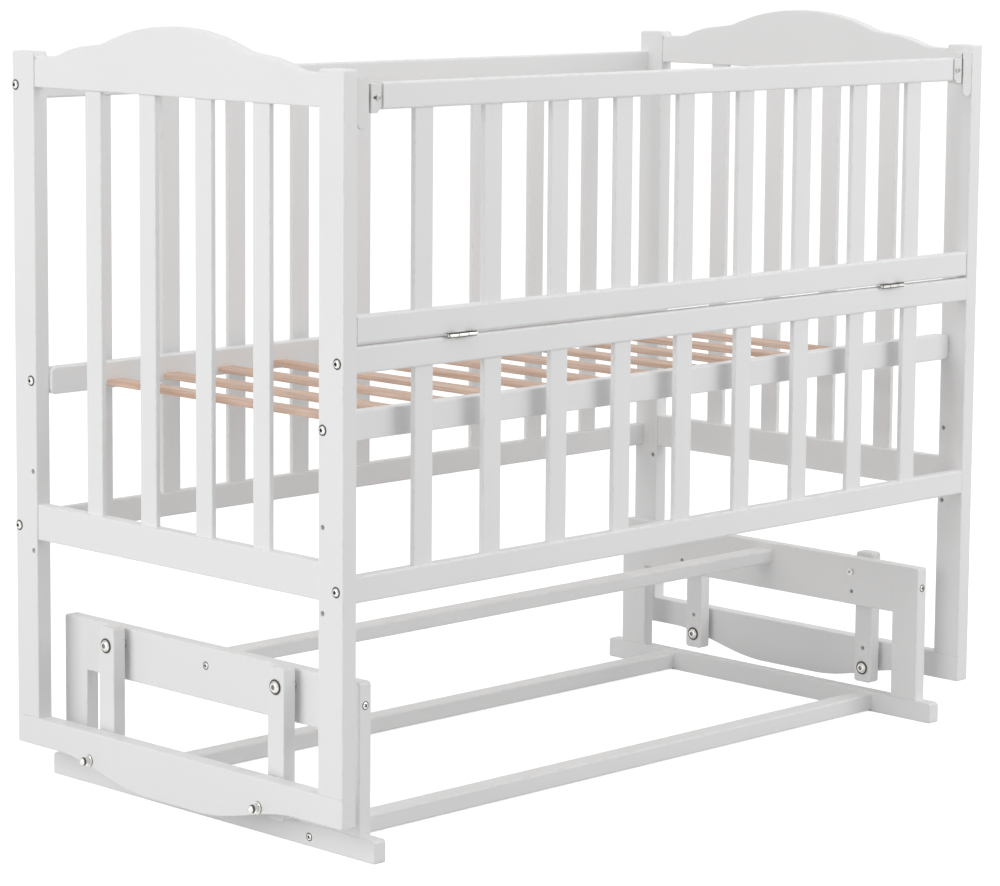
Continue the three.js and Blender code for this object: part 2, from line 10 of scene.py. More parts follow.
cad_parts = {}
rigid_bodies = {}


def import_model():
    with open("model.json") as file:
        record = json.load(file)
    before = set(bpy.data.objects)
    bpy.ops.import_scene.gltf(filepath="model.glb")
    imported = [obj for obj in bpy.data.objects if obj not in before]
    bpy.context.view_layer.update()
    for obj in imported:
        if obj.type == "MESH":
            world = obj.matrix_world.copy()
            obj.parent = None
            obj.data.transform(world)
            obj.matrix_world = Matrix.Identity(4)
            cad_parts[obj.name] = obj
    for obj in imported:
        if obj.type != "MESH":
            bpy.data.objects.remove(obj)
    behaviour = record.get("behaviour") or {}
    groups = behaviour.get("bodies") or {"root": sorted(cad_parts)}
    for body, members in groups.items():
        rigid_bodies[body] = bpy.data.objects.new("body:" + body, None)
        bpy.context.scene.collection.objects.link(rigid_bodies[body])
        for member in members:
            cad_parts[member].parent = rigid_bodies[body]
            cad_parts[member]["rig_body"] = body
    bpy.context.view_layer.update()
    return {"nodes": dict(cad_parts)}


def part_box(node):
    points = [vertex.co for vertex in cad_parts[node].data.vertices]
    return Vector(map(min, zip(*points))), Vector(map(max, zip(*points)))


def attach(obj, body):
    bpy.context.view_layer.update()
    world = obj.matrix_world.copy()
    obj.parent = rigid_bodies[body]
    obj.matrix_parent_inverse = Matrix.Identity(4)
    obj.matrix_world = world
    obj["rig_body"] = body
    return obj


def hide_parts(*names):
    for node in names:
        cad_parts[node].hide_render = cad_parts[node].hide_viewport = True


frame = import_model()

MM = 0.001

# Camera, solved from the photograph's corners
CAMERA_AZIMUTH = -45.082
CAMERA_ELEVATION = 7.173
CAMERA_ROLL = 0.456
CAMERA_DISTANCE = 4932
CAMERA_TARGET = (-30.9, 3.1, 578.4)
SENSOR_WIDTH = 36
LENS = 127.9
SHIFT_Y = -0.1
CLIP_START = 0.1
CLIP_END = 200

# Rounding of edges
BOARD_RIM = 1.8
RAIL_RIM = 0.6
RAIL_ROUND = 3.2
SLAT_ROUND = 2
JOINT_ROUND = 0.8
OUTER_ROUND = 3
POST_TOP_ROUND = 3.4
FOOT_ROUND = 5
UPRIGHT_ROUND = 4
ARM_ROUND = 5
BED_RAIL_ROUND = 8
RIM_STEPS = 4
CORNER_STEPS = 8
STRIP_CORNERS = 4
LEAST_ROUND = 0.02
PLAIN_INSET = 1.5

# Shading: edges sharper than the angle stay sharp, and large faces stay flat
SHARP_ANGLE = 35
FLAT_WEIGHT = 100

# Shapes that are cut away: how far they reach past the piece, and their sharp edges
PAST = 1
SHARP_EDGES = {"rim": 0.01, "rim_steps": 1, "plain": 0}

# How far a piece runs on into the piece that it is glued or bolted to
GLUED = 1.5
HOUSED = 1
SEATED = 0.4

# Beam under the posts: its height and the places where its belly starts and ends
BEAM_END_HEIGHT = 38
BELLY_FLAT_HALF = 50
BELLY_RISE = 190
BELLY_STEPS = 48

# Head rail's arch from the middle outwards, in shares of its half width and of its rise
ARCH_END_HEIGHT = 41
ARCH_STEPS = 6
ARCH_SHARES = (
    (0, 1), (0.14, 0.96), (0.3, 0.81), (0.43, 0.59), (0.5, 0.45),
    (0.58, 0.385), (0.67, 0.325), (0.76, 0.2), (0.83, 0.06), (0.89, 0.01), (1, 0),
)

# Rails and slats
SLAT_THICKNESS = 8
SLAT_WIDTH = 32
LONG_SLAT_COUNT = 9
LONG_SLAT_PITCH = 120
GATE_SLAT_SHIFT = -4.5
FRONT_SLAT_SHIFT = -3
REAR_SLAT_SHIFT = -2.5
END_SLAT_COUNT = 4
END_SLAT_PITCH = 110
LOW_RAIL_HEIGHT = 34
REAR_TOP_RAIL_HEIGHT = 33
MIDDLE_RAIL_HEIGHT = 33.5
GATE_LOW_RAIL_HEIGHT = 34.5
END_LOW_RAIL_HEIGHT = 48

# Holes
SPARE_HOLE_RADIUS = 3.25
SPARE_HOLE_INSET = 8
SPARE_HOLE_DROPS = (120.5, 227.5)
LOCK_HOLE_RADIUS = 3
BOARD_LOCK_DROP = 30
ARM_LOCK_RISE = 30
HOLE_CHAMFER = 0.6
HOLE_STEPS = 32

# Bolts, nuts and screws
ROUND_STEPS = 48
DOME_STEPS = 8
HEXAGON = 6
# The heads' walls and brims carry painted shade, a dark ring round the dome; their sockets and cross
# recesses are painted dark as shade
PIVOT_HEAD = {"radius": 10, "height": 4, "flat": 4.6, "wall": 0.9, "socket": 3.8, "depth": 2.6,
              "brim": 1.9}
FRAME_HEAD = {"radius": 7, "height": 3, "flat": 3.4, "wall": 0.7, "socket": 2.8, "depth": 2.2,
              "brim": 1.5}
SHANK_RADIUS = 3
SHANK_CHAMFER = 0.5
# Share of painted shade on the shank's end
SHANK_PAINTED_SHADE = 0.5
SPACER_RADIUS = 8
SPACER_CHAMFER = 0.6
# Shares of painted shade on the spacers' faces and rims
SPACER_FACE_PAINTED_SHADE = 0.6
SPACER_RIM_PAINTED_SHADE = 0.2
AXIAL_GAP = 0.4
NUT_RADIUS = 5
NUT_HEIGHT = 5
NUT_CHAMFER = 0.8
NUT_RIM = 0.15
SHANK_TAIL = 1
CAP_FLANGE_RADIUS = 8
CAP_FLANGE_HEIGHT = 2.5
CAP_FLANGE_FOOT_BEVEL = 0.4
CAP_FLANGE_TOP_BEVEL = (0.6, 0.5)
CAP_RADIUS = 5.5
CAP_HEIGHT = 14
CAP_DOME = 5
# Painted shade on the cap nut: the dome's first rows painted dark, and shares on its foot, its ring and
# its sides
CAP_PAINTED_SHADE_ROWS = 3
CAP_BAND = 1
CAP_FOOT_PAINTED_SHADE = 0.9
CAP_RING_PAINTED_SHADE = 0.3
CAP_SIDE_PAINTED_SHADE = 0.1
STAND_SCREW = {"radius": 5.5, "height": 1.4, "flat": 0, "wall": 0.3, "depth": 1.1, "brim": 0.9}
HINGE_SCREW = {"radius": 3.1, "height": 0.5, "flat": 0, "wall": 0.15, "depth": 0.35, "brim": 0.4}
CROSS_REACH_SHARE = 0.5
CROSS_WIDTH_SHARE = 0.16

# How far the heads are turned, in degrees: a fixed turn, or the turn from one head to the next
UPPER_BOLT_TURN = 17
UPPER_NUT_TURN = 11
LOWER_BOLT_TURN = 5
FRAME_BOLT_TURN = 90
STAND_SCREW_TURN = 31
HINGE_SCREW_TURN = 40
HINGE_SCREW_FIRST_TURN = 12

# Places of the frame's bolts on the posts' outer faces: distance from the crib's middle, height
REAR_POST_BOLTS = ((317, 942), (317, 352), (289, 550))
FRONT_POST_BOLTS = ((313, 631.5), (312, 351), (287, 548))
UPRIGHT_SCREW_DROP = 30
BOARD_SCREW_DROP = 25
FOOT_SCREW_Z = {"front": 12.5, "rear": 20}
FOOT_SCREW_OUT = 4

# Hinges
HINGE_AXIS = (-327, 653)
HINGE_HALF = 24
MIDDLE_KNUCKLE_HALF = 8.5
KNUCKLE_GAP = 0.25
KNUCKLE_RADIUS = 3.25
KNUCKLE_CHAMFER = 0.45
# Painted shade on the knuckles: on their edges, and along their top and bottom from a share of the
# radius on, fading in
KNUCKLE_EDGE_PAINTED_SHADE = 0.3
PAINTED_SHADE_START = 0.45
PAINTED_SHADE_FADE = 0.15
PIN_RADIUS = 1.5
PIN_HEAD_RADIUS = 2.3
PIN_HEAD = 1.1
PIN_HEAD_FOOT = 0.3
PIN_HEAD_CROWN = (0.2, 0.5)
# Share of painted shade on the pin heads' foot
PIN_EDGE_PAINTED_SHADE = 0.6
PIN_STEPS = 24
LEAF_THICKNESS = 1.25
LEAF_ROUND = 1.5
# The leaves' rims carry painted shade along their crest
LEAF_RIM = {"rim": 0.25, "rim_steps": 2}
LEAF_WEB_LAP = 0.2
HINGE_SCREW_COUNT = 3
LEAF_FRONT = -323.25
LEAF_REAR = -309
LEAF_SCREW_SPACING = 15.5

# Catches; the knob's rows are (distance outwards, distance in from its radius, share of painted shade)
CATCH_RIM = 0.9
HOUSING_GAP = 3
HOUSING_CORNER = 7
HOUSING_CORNER_ROUND = 2.5
STUB_SETBACK = 7
STUB_BACK_WALL = 2
STUB_RISE = 10
STUB_DROP = 6
CATCH_ROUND = 1.6
KNOB_INSET = 6.5
KNOB_RISE = 19
KNOB_RADIUS = 3.5
KNOB_PROUD = 3
KNOB_GAP = 0.6
KNOB_LAP = 1
KNOB_UNDERSIDE_ROWS = ((0, 0.2, 0.2), (0.2, 0, 0.1))
KNOB_FACE_ROWS = ((-0.8, 0, 0.1), (-0.3, 0.4, 0.4), (0, 1.1, 0.5))
KNOB_DISH = 0.35
# Shares of painted shade in the knob's dish and on its neck
KNOB_DISH_PAINTED_SHADE = 0.5
NECK_RADIUS = 1.2
NECK_PAINTED_SHADE = 0.2
KNOB_SLOT_MARGIN = 0.4
SLOT_END_FLAT = 0.05
SLIDE_TRAVEL = 6
SLIDE_REST = 0.5
SLIDE_WIDTH = 8.2
SLIDE_CLEARANCE = 0.4
STRIKER_PLATE = 4
STRIKER_PLATE_DROP = 17
STRIKER_ROUND = 8.5
STRIKER_POCKET = 8.5

# Materials: colours in shares of red, green and blue, and bumps as (strength, distance)
PAINT_START = {"base": (0.88, 0.88, 0.87), "roughness": 0.42}
PAINT_TONES = ((0.884, 0.885, 0.886), (0.870, 0.872, 0.873))
PAINT_WORN = (0.66, 0.61, 0.54)
PAINT_WEAR = {"threshold": 0.52, "most": 0.25}
PAINT_ROUGHNESS = (0.4, 0.47)
PAINT_GRAIN_BUMP = (0.35, 0.00012)
PAINT_SKIN_BUMP = (0.25, 0.00003)
BARE_START = {"base": (0.76, 0.58, 0.46), "roughness": 0.58}
BARE_TONES = ((0.80, 0.61, 0.50), (0.66, 0.45, 0.34))
BARE_FIBRE = (0.50, 0.31, 0.22)
BARE_ROUGHNESS = (0.52, 0.66)
BARE_FIBRE_BUMP = (0.5, 0.0002)
BARE_SKIN_BUMP = (0.2, 0.00004)
NICKEL_START = {"base": (0.72, 0.71, 0.69), "roughness": 0.24, "metallic": 1.0}
NICKEL_TONES = ((0.76, 0.75, 0.73), (0.66, 0.65, 0.62))
NICKEL_ROUGHNESS = (0.17, 0.32)
NICKEL_SKIN_BUMP = (0.25, 0.00003)
# Painted shade and dark reflection on the nickel: its colour and roughness
PAINTED_SHADE_COLOUR = (0.05, 0.045, 0.04)
PAINTED_SHADE_ROUGHNESS = 0.65
PLASTIC_START = {"base": (0.84, 0.84, 0.83), "roughness": 0.34}
PLASTIC_TONES = ((0.845, 0.845, 0.838), (0.82, 0.818, 0.81))
PLASTIC_WORN = (0.62, 0.6, 0.56)
PLASTIC_WEAR = {"threshold": 0.55, "most": 0.25}
PLASTIC_ROUGHNESS = (0.3, 0.42)
PLASTIC_SKIN_BUMP = (0.4, 0.00004)
WEAR_FADE = 0.12

# Parts of the noise's range that are spread over a whole range
WHOLE = (0, 1)
NOISE_CORE = (0.35, 0.65)
NOISE_SPREAD = (0.3, 0.7)
BAND_SPREAD = (0.32, 0.68)
FIBRE_SPREAD = (0.42, 0.66)
FIBRE_RANGE = (0, 0.55)
# Part of the nickel's share of painted shade that is spread over the whole range
PAINTED_SHADE_SPREAD = (0.15, 0.85)

# Numbers of the Mix node's sockets that carry colours
MIX_COLOUR_A = 6
MIX_COLOUR_B = 7
MIX_COLOUR_OUT = 2

# Light
WORLD_LIGHT = 0.45
LAMPS = (
    {"name": "lamp_from_the_left", "place": (-5.5, 0.2, 2.2), "power": 124, "size": 3.4},
    {"name": "lamp_from_the_front", "place": (1.6, -3.2, 2.2), "power": 50, "size": 2.4},
    {"name": "lamp_from_above", "place": (0, 0, 4.2), "power": 30, "size": 3},
)
LAMP_TARGET = (0, 0, 0.55)
FLOOR_SIZE = 60
FLOOR_COLOUR = 0.62
FLOOR_GLOW = 0.8

AXES = {"X": (1, 2, 0), "Y": (2, 0, 1), "Z": (0, 1, 2)}
ENDS = ((-1, "left"), (1, "right"))
SIDES = ((-1, "front"), (1, "rear"))


def node_box(node):
    """Lowest and highest corner of a CAD node, in millimetres."""
    low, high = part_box(node)
    return [c / MM for c in low], [c / MM for c in high]


crib_front = node_box("post_front_left")[0][1]
crib_rear = node_box("post_rear_left")[1][1]
CRIB_Y = (crib_front + crib_rear) / 2


# Meshes

def added(name, data):
    """A new object of a mesh, a lamp's data or a camera's, in the scene."""
    thing = bpy.data.objects.new(name, data)
    bpy.context.scene.collection.objects.link(thing)
    return thing


def make_piece(name, points, faces, wear_and_shade):
    """A smooth mesh object whose share of wear, on nickel of painted shade, is 1 on its edges' crests.
    """
    mesh = bpy.data.meshes.new(name)
    mesh.from_pydata([[c * MM for c in p] for p in points], [], faces)
    mesh.attributes.new("wear_and_shade", "FLOAT", "POINT").data.foreach_set("value", wear_and_shade)
    mesh.polygons.foreach_set("use_smooth", [True] * len(mesh.polygons))
    return added(name, mesh)


def filleted(corners):
    """Points (u, v, wear and painted shade) of an outline of corners (u, v, radius), with an arc at
    each radius.
    """
    points = []
    count = len(corners)
    for i, (u, v, radius) in enumerate(corners):
        if radius == 0:
            points.append((u, v, 0.0))
            continue
        here = Vector((u, v))
        before = (Vector(corners[i - 1][:2]) - here).normalized()
        after = (Vector(corners[(i + 1) % count][:2]) - here).normalized()
        half = before.angle(after) / 2
        centre = here + (before + after).normalized() * (radius / math.sin(half))
        reach = radius / math.tan(half)
        start = here + before * reach - centre
        end = here + after * reach - centre
        first = math.atan2(start.y, start.x)
        turn = math.atan2(start.x * end.y - start.y * end.x, start.dot(end))
        for k in range(CORNER_STEPS + 1):
            angle = first + turn * k / CORNER_STEPS
            points.append((
                centre.x + radius * math.cos(angle),
                centre.y + radius * math.sin(angle),
                math.sin(math.pi * k / CORNER_STEPS),
            ))
    return points


def rectangle(u0, u1, v0, v1, radii):
    """Corners of a rectangle; the radii run from its low-low corner round by high-low."""
    places = ((u0, v0), (u1, v0), (u1, v1), (u0, v1))
    return [(u, v, r) for (u, v), r in zip(places, radii)]


def inset(corners, distance):
    """The corners moved inwards by a distance, their radii less by as much."""
    moved = []
    count = len(corners)
    for i, (u, v, radius) in enumerate(corners):
        before = Vector((u, v)) - Vector(corners[i - 1][:2])
        after = Vector(corners[(i + 1) % count][:2]) - Vector((u, v))
        a = Vector((-before.y, before.x)).normalized()
        b = Vector((-after.y, after.x)).normalized()
        shift = (a + b) * (distance / (1 + a.dot(b)))
        moved.append((u + shift.x, v + shift.y, max(radius - distance, LEAST_ROUND) if radius else 0))
    return moved


def prism(name, axis, corners, low, high, rim=BOARD_RIM, rim_steps=RIM_STEPS, plain=PLAIN_INSET):
    """A board cut to corners (u, v, radius) across an axis, its two faces' edges rounded by rim.

    A ring set in by plain keeps the edges' wear, and on nickel their painted shade, off the middle of
    the two faces.
    """
    rings = []
    for k in range(rim_steps + 1):
        angle = math.pi / 2 * k / rim_steps
        rings.append((rim * (1 - math.sin(angle)), rim * (1 - math.cos(angle)), math.sin(2 * angle)))
    levels = [(shrink, low + rise, wear_and_shade) for shrink, rise, wear_and_shade in rings]
    levels += [(shrink, high - rise, wear_and_shade) for shrink, rise, wear_and_shade in reversed(rings)]
    if plain:
        levels = [(rim + plain, low, None)] + levels + [(rim + plain, high, None)]
    points = []
    wear_and_shade_values = []
    for shrink, level, wear_and_shade in levels:
        outline = filleted(inset(corners, shrink))
        for u, v, outline_wear_and_shade in outline:
            place = [0.0, 0.0, 0.0]
            for index, value in zip(AXES[axis], (u, v, level)):
                place[index] = value
            points.append(place)
            wear_and_shade_values.append(0 if wear_and_shade is None else max(wear_and_shade, outline_wear_and_shade))
    n = len(outline)
    faces = [list(reversed(range(n)))]
    for i in range(len(levels) - 1):
        for j in range(n):
            k = (j + 1) % n
            faces.append([i * n + j, i * n + k, (i + 1) * n + k, (i + 1) * n + j])
    faces.append(list(range((len(levels) - 1) * n, len(levels) * n)))
    return make_piece(name, points, faces, wear_and_shade_values)


def turned(name, profile, steps=ROUND_STEPS):
    """A round solid about Z from rows (z, radius, painted shade), closed by a radius of 0 at each end.
    """
    points = []
    wear_and_shade_values = []
    rings = []
    for z, radius, wear_and_shade in profile:
        count = 1 if radius == 0 else steps
        rings.append(range(len(points), len(points) + count))
        for k in range(count):
            angle = 2 * math.pi * k / steps
            points.append((radius * math.cos(angle), radius * math.sin(angle), z))
            wear_and_shade_values.append(wear_and_shade)
    faces = []
    for lower, upper in zip(rings, rings[1:]):
        for j in range(steps):
            k = (j + 1) % steps
            if len(lower) == 1 and len(upper) > 1:
                faces.append([lower[0], upper[k], upper[j]])
            elif len(upper) == 1 and len(lower) > 1:
                faces.append([lower[j], lower[k], upper[0]])
            elif len(lower) > 1:
                faces.append([lower[j], lower[k], upper[k], upper[j]])
    return make_piece(name, points, faces, wear_and_shade_values)


def regular(count, radius):
    return [
        (radius * math.cos(2 * math.pi * k / count), radius * math.sin(2 * math.pi * k / count), 0)
        for k in range(count)
    ]


def taken_out(piece, tools):
    """The piece without the tools' shapes. The tools are removed."""
    for tool in tools:
        change = piece.modifiers.new("cut", "BOOLEAN")
        change.operation = "DIFFERENCE"
        change.solver = "EXACT"
        change.object = tool
    bpy.context.view_layer.update()
    graph = bpy.context.evaluated_depsgraph_get()
    mesh = bpy.data.meshes.new_from_object(piece.evaluated_get(graph))
    piece.modifiers.clear()
    piece.data = mesh
    for tool in tools:
        bpy.data.objects.remove(tool)
    return piece


def holed(board, tools):
    """The board without the tools' shapes, and without wear on the faces that they go through."""
    taken_out(board, tools)
    wear_and_shade = board.data.attributes["wear_and_shade"].data
    for face in board.data.polygons:
        if len(face.vertices) > STRIP_CORNERS:
            for index in face.vertices:
                wear_and_shade[index].value = 0
    return board


def hole_tool(y, z, low, high, radius):
    """Cutter for a hole along X through a board from low to high, with chamfered mouths."""
    wide = radius + HOLE_CHAMFER
    tool = turned("hole", [
        (low - PAST, 0, 0), (low - PAST, wide, 0), (low, wide, 0), (low + HOLE_CHAMFER, radius, 0),
        (high - HOLE_CHAMFER, radius, 0), (high, wide, 0), (high + PAST, wide, 0), (high + PAST, 0, 0),
    ], HOLE_STEPS)
    aimed(tool, (0, y, z), (1, 0, 0))
    return tool


def aimed(piece, place, direction, spin=0):
    """The piece's own Z axis is turned to a direction, and its origin is set at a place."""
    turn = Vector(direction).to_track_quat("Z", "Y").to_matrix().to_4x4()
    piece.matrix_world = (
        Matrix.Translation(Vector(place) * MM) @ turn @ Matrix.Rotation(math.radians(spin), 4, "Z")
    )


# Materials

def start_material(name, base, roughness, metallic=0.0):
    material = bpy.data.materials.new(name)
    material.use_nodes = True
    shader = material.node_tree.nodes["Principled BSDF"]
    shader.inputs["Base Color"].default_value = (*base, 1)
    shader.inputs["Roughness"].default_value = roughness
    shader.inputs["Metallic"].default_value = metallic
    return material, shader


def noise(tree, scale, stretch=(1, 1, 1), detail=4, distortion=0.0):
    """Noise in the piece's own coordinates, stretched along its axes."""
    coordinates = tree.nodes.new("ShaderNodeTexCoord")
    mapping = tree.nodes.new("ShaderNodeMapping")
    mapping.inputs["Scale"].default_value = stretch
    texture = tree.nodes.new("ShaderNodeTexNoise")
    texture.inputs["Scale"].default_value = scale
    texture.inputs["Detail"].default_value = detail
    texture.inputs["Distortion"].default_value = distortion
    tree.links.new(coordinates.outputs["Object"], mapping.inputs["Vector"])
    tree.links.new(mapping.outputs["Vector"], texture.inputs["Vector"])
    return texture.outputs["Fac"]


def mapped(tree, value, source, target):
    """A value's range from source is spread over target."""
    node = tree.nodes.new("ShaderNodeMapRange")
    tree.links.new(value, node.inputs["Value"])
    for socket, number in zip(("From Min", "From Max", "To Min", "To Max"), (*source, *target)):
        node.inputs[socket].default_value = number
    return node.outputs["Result"]


def combined(tree, operation, a, b):
    node = tree.nodes.new("ShaderNodeMath")
    node.operation = operation
    tree.links.new(a, node.inputs[0])
    tree.links.new(b, node.inputs[1])
    return node.outputs["Value"]


def mixed(tree, factor, a, b):
    """Colour a turns into colour b with the factor; each is three numbers or a socket."""
    node = tree.nodes.new("ShaderNodeMix")
    node.data_type = "RGBA"
    tree.links.new(factor, node.inputs["Factor"])
    for socket, colour in ((node.inputs[MIX_COLOUR_A], a), (node.inputs[MIX_COLOUR_B], b)):
        if isinstance(colour, tuple):
            socket.default_value = (*colour, 1)
        else:
            tree.links.new(colour, socket)
    return node.outputs[MIX_COLOUR_OUT]


def wear_and_shade_share(tree):
    """What the piece's share of wear, and on nickel of painted shade, says."""
    attribute = tree.nodes.new("ShaderNodeAttribute")
    attribute.attribute_name = "wear_and_shade"
    return attribute.outputs["Fac"]


def worn_edges(tree, threshold, most):
    """Wear along the edges, broken up by noise."""
    speckle = noise(tree, scale=70, detail=3)
    patches = mapped(tree, speckle, (threshold, threshold + WEAR_FADE), (0, most))
    return combined(tree, "MULTIPLY", wear_and_shade_share(tree), patches)


def bumps(tree, shader, *layers):
    """Bump nodes one after the other, from (height, strength, distance in metres) rows."""
    normal = None
    for height, strength, distance in layers:
        node = tree.nodes.new("ShaderNodeBump")
        node.inputs["Strength"].default_value = strength
        node.inputs["Distance"].default_value = distance
        tree.links.new(height, node.inputs["Height"])
        if normal:
            tree.links.new(normal, node.inputs["Normal"])
        normal = node.outputs["Normal"]
    tree.links.new(normal, shader.inputs["Normal"])


def grain_stretch(axis, along, across):
    return tuple(along if letter == axis else across for letter in "XYZ")


def painted_wood(axis):
    """White satin enamel on wood, with the grain's long ridges faint under the paint."""
    material, shader = start_material(f"white_paint_grain_{axis}", **PAINT_START)
    tree = material.node_tree
    tone = mapped(tree, noise(tree, scale=5, detail=3), NOISE_CORE, WHOLE)
    clean = mixed(tree, tone, *PAINT_TONES)
    aged = mixed(tree, worn_edges(tree, **PAINT_WEAR), clean, PAINT_WORN)
    tree.links.new(aged, shader.inputs["Base Color"])
    gloss = mapped(tree, noise(tree, scale=22), NOISE_SPREAD, PAINT_ROUGHNESS)
    tree.links.new(gloss, shader.inputs["Roughness"])
    stretch = grain_stretch(axis, along=6, across=260)
    grain = noise(tree, scale=1, stretch=stretch, detail=6, distortion=0.4)
    skin = noise(tree, scale=900, detail=2)
    bumps(tree, shader, (grain, *PAINT_GRAIN_BUMP), (skin, *PAINT_SKIN_BUMP))
    return material


def bare_wood():
    """Planed wood with its grain along Y: wide bands, fine dark fibres, and no paint."""
    material, shader = start_material("bare_wood", **BARE_START)
    tree = material.node_tree
    stretch = grain_stretch("Y", along=2.2, across=55)
    wide = noise(tree, scale=1, stretch=stretch, detail=5, distortion=1.2)
    bands = mapped(tree, wide, BAND_SPREAD, WHOLE)
    fine = noise(tree, scale=1, stretch=grain_stretch("Y", along=14, across=700))
    fibres = mapped(tree, fine, FIBRE_SPREAD, FIBRE_RANGE)
    streaked = mixed(tree, fibres, mixed(tree, bands, *BARE_TONES), BARE_FIBRE)
    tree.links.new(streaked, shader.inputs["Base Color"])
    tree.links.new(mapped(tree, bands, WHOLE, BARE_ROUGHNESS), shader.inputs["Roughness"])
    skin = noise(tree, scale=1200, detail=2)
    bumps(tree, shader, (fibres, *BARE_FIBRE_BUMP), (skin, *BARE_SKIN_BUMP))
    return material


def nickel():
    """Bright nickel plate with painted shade and dark reflection along its edges and in its recesses.
    """
    material, shader = start_material("nickel_plate", **NICKEL_START)
    tree = material.node_tree
    # Painted shade and dark reflection: where the share is high, the nickel turns into a dark, rough
    # colour that is no metal
    painted_shade = mapped(tree, wear_and_shade_share(tree), PAINTED_SHADE_SPREAD, WHOLE)
    clouds = mapped(tree, noise(tree, scale=160), NOISE_SPREAD, WHOLE)
    clouded = mixed(tree, clouds, *NICKEL_TONES)
    tree.links.new(mixed(tree, painted_shade, clouded, PAINTED_SHADE_COLOUR), shader.inputs["Base Color"])
    tree.links.new(mapped(tree, painted_shade, WHOLE, (1, 0)), shader.inputs["Metallic"])
    gloss = mapped(tree, noise(tree, scale=260), NOISE_SPREAD, NICKEL_ROUGHNESS)
    rough = combined(tree, "MAXIMUM", gloss, mapped(tree, painted_shade, WHOLE, (0, PAINTED_SHADE_ROUGHNESS)))
    tree.links.new(rough, shader.inputs["Roughness"])
    bumps(tree, shader, (noise(tree, scale=1500, detail=3), *NICKEL_SKIN_BUMP))
    return material


def white_plastic():
    """Moulded white plastic with a fine spark-eroded skin."""
    material, shader = start_material("white_plastic", **PLASTIC_START)
    tree = material.node_tree
    tone = mapped(tree, noise(tree, scale=30, detail=2), NOISE_CORE, WHOLE)
    clean = mixed(tree, tone, *PLASTIC_TONES)
    aged = mixed(tree, worn_edges(tree, **PLASTIC_WEAR), clean, PLASTIC_WORN)
    tree.links.new(aged, shader.inputs["Base Color"])
    gloss = mapped(tree, noise(tree, scale=120), NOISE_SPREAD, PLASTIC_ROUGHNESS)
    tree.links.new(gloss, shader.inputs["Roughness"])
    bumps(tree, shader, (noise(tree, scale=2600, detail=3), *PLASTIC_SKIN_BUMP))
    return material


PAINT = {axis: painted_wood(axis) for axis in "XYZ"}
BARE = bare_wood()
NICKEL = nickel()
PLASTIC = white_plastic()


def placed(piece, material, slot, body, *nodes):
    """The piece gets its material, shading and body, and stands for the nodes; its slot is not used."""
    piece.data.materials.clear()
    piece.data.materials.append(material)
    piece.data.set_sharp_from_angle(angle=math.radians(SHARP_ANGLE))
    shading = piece.modifiers.new("flat_faces", "WEIGHTED_NORMAL")
    shading.keep_sharp = True
    shading.weight = FLAT_WEIGHT
    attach(piece, body)
    if nodes:
        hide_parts(*nodes)


def body_of(node):
    return frame["nodes"][node]["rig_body"]


def painted(piece, axis, node):
    placed(piece, PAINT[axis], "white_wood", body_of(node), node)


def plastic(piece, node):
    placed(piece, PLASTIC, "white_plastic", body_of(node), node)


def metal(piece, place, direction, body, *nodes, spin=0):
    aimed(piece, place, direction, spin)
    placed(piece, NICKEL, "nickel", body, *nodes)


# Wooden pieces of the crib

def make_post(sign, depth, end):
    node = f"post_{depth}_{end}"
    (x0, y0, z0), (x1, y1, z1) = node_box(node)
    radii = (JOINT_ROUND, JOINT_ROUND, POST_TOP_ROUND, POST_TOP_ROUND)
    outline = rectangle(y0, y1, z0 - SEATED, z1, radii)
    hole_y = y0 + SPARE_HOLE_INSET if sign > 0 else y1 - SPARE_HOLE_INSET
    bed_low, bed_high = node_box(f"bed_rail_{depth}")
    bed_z = (bed_low[2] + bed_high[2]) / 2
    tools = [hole_tool(hole_y, bed_z - drop, x0, x1, SPARE_HOLE_RADIUS) for drop in SPARE_HOLE_DROPS]
    painted(holed(prism(f"{node}_shaped", "X", outline, x0, x1), tools), "Z", node)


def make_beam(end):
    node = f"rocker_beam_{end}"
    (x0, y0, z0), (x1, y1, z1) = node_box(node)
    shoulder = z1 - BEAM_END_HEIGHT
    belly = []
    for k in range(BELLY_STEPS + 1):
        share = k / BELLY_STEPS
        lift = (shoulder - z0) * (1 - math.cos(math.pi * share)) / 2
        belly.append((BELLY_FLAT_HALF + BELLY_RISE * share, z0 + lift))
    corners = [(y0, shoulder, OUTER_ROUND)]
    corners += [(CRIB_Y - y, z, 0) for y, z in reversed(belly)]
    corners += [(CRIB_Y + y, z, 0) for y, z in belly]
    corners += [(y1, shoulder, OUTER_ROUND), (y1, z1, JOINT_ROUND), (y0, z1, JOINT_ROUND)]
    painted(prism(f"{node}_shaped", "X", corners, x0, x1), "Y", node)


def arch_curve():
    """Smooth curve through the arch's shares, from the middle outwards."""
    points = [Vector(p) for p in ARCH_SHARES]
    curve = []
    for i in range(len(points) - 1):
        a = points[max(i - 1, 0)]
        b, c = points[i], points[i + 1]
        d = points[min(i + 2, len(points) - 1)]
        for k in range(ARCH_STEPS):
            t = k / ARCH_STEPS
            pull_b, pull_c = (c - a) / 2, (d - b) / 2
            curve.append((2 * b - 2 * c + pull_b + pull_c) * t ** 3
                         + (3 * c - 3 * b - 2 * pull_b - pull_c) * t ** 2 + pull_b * t + b)
    return curve + [points[-1]]


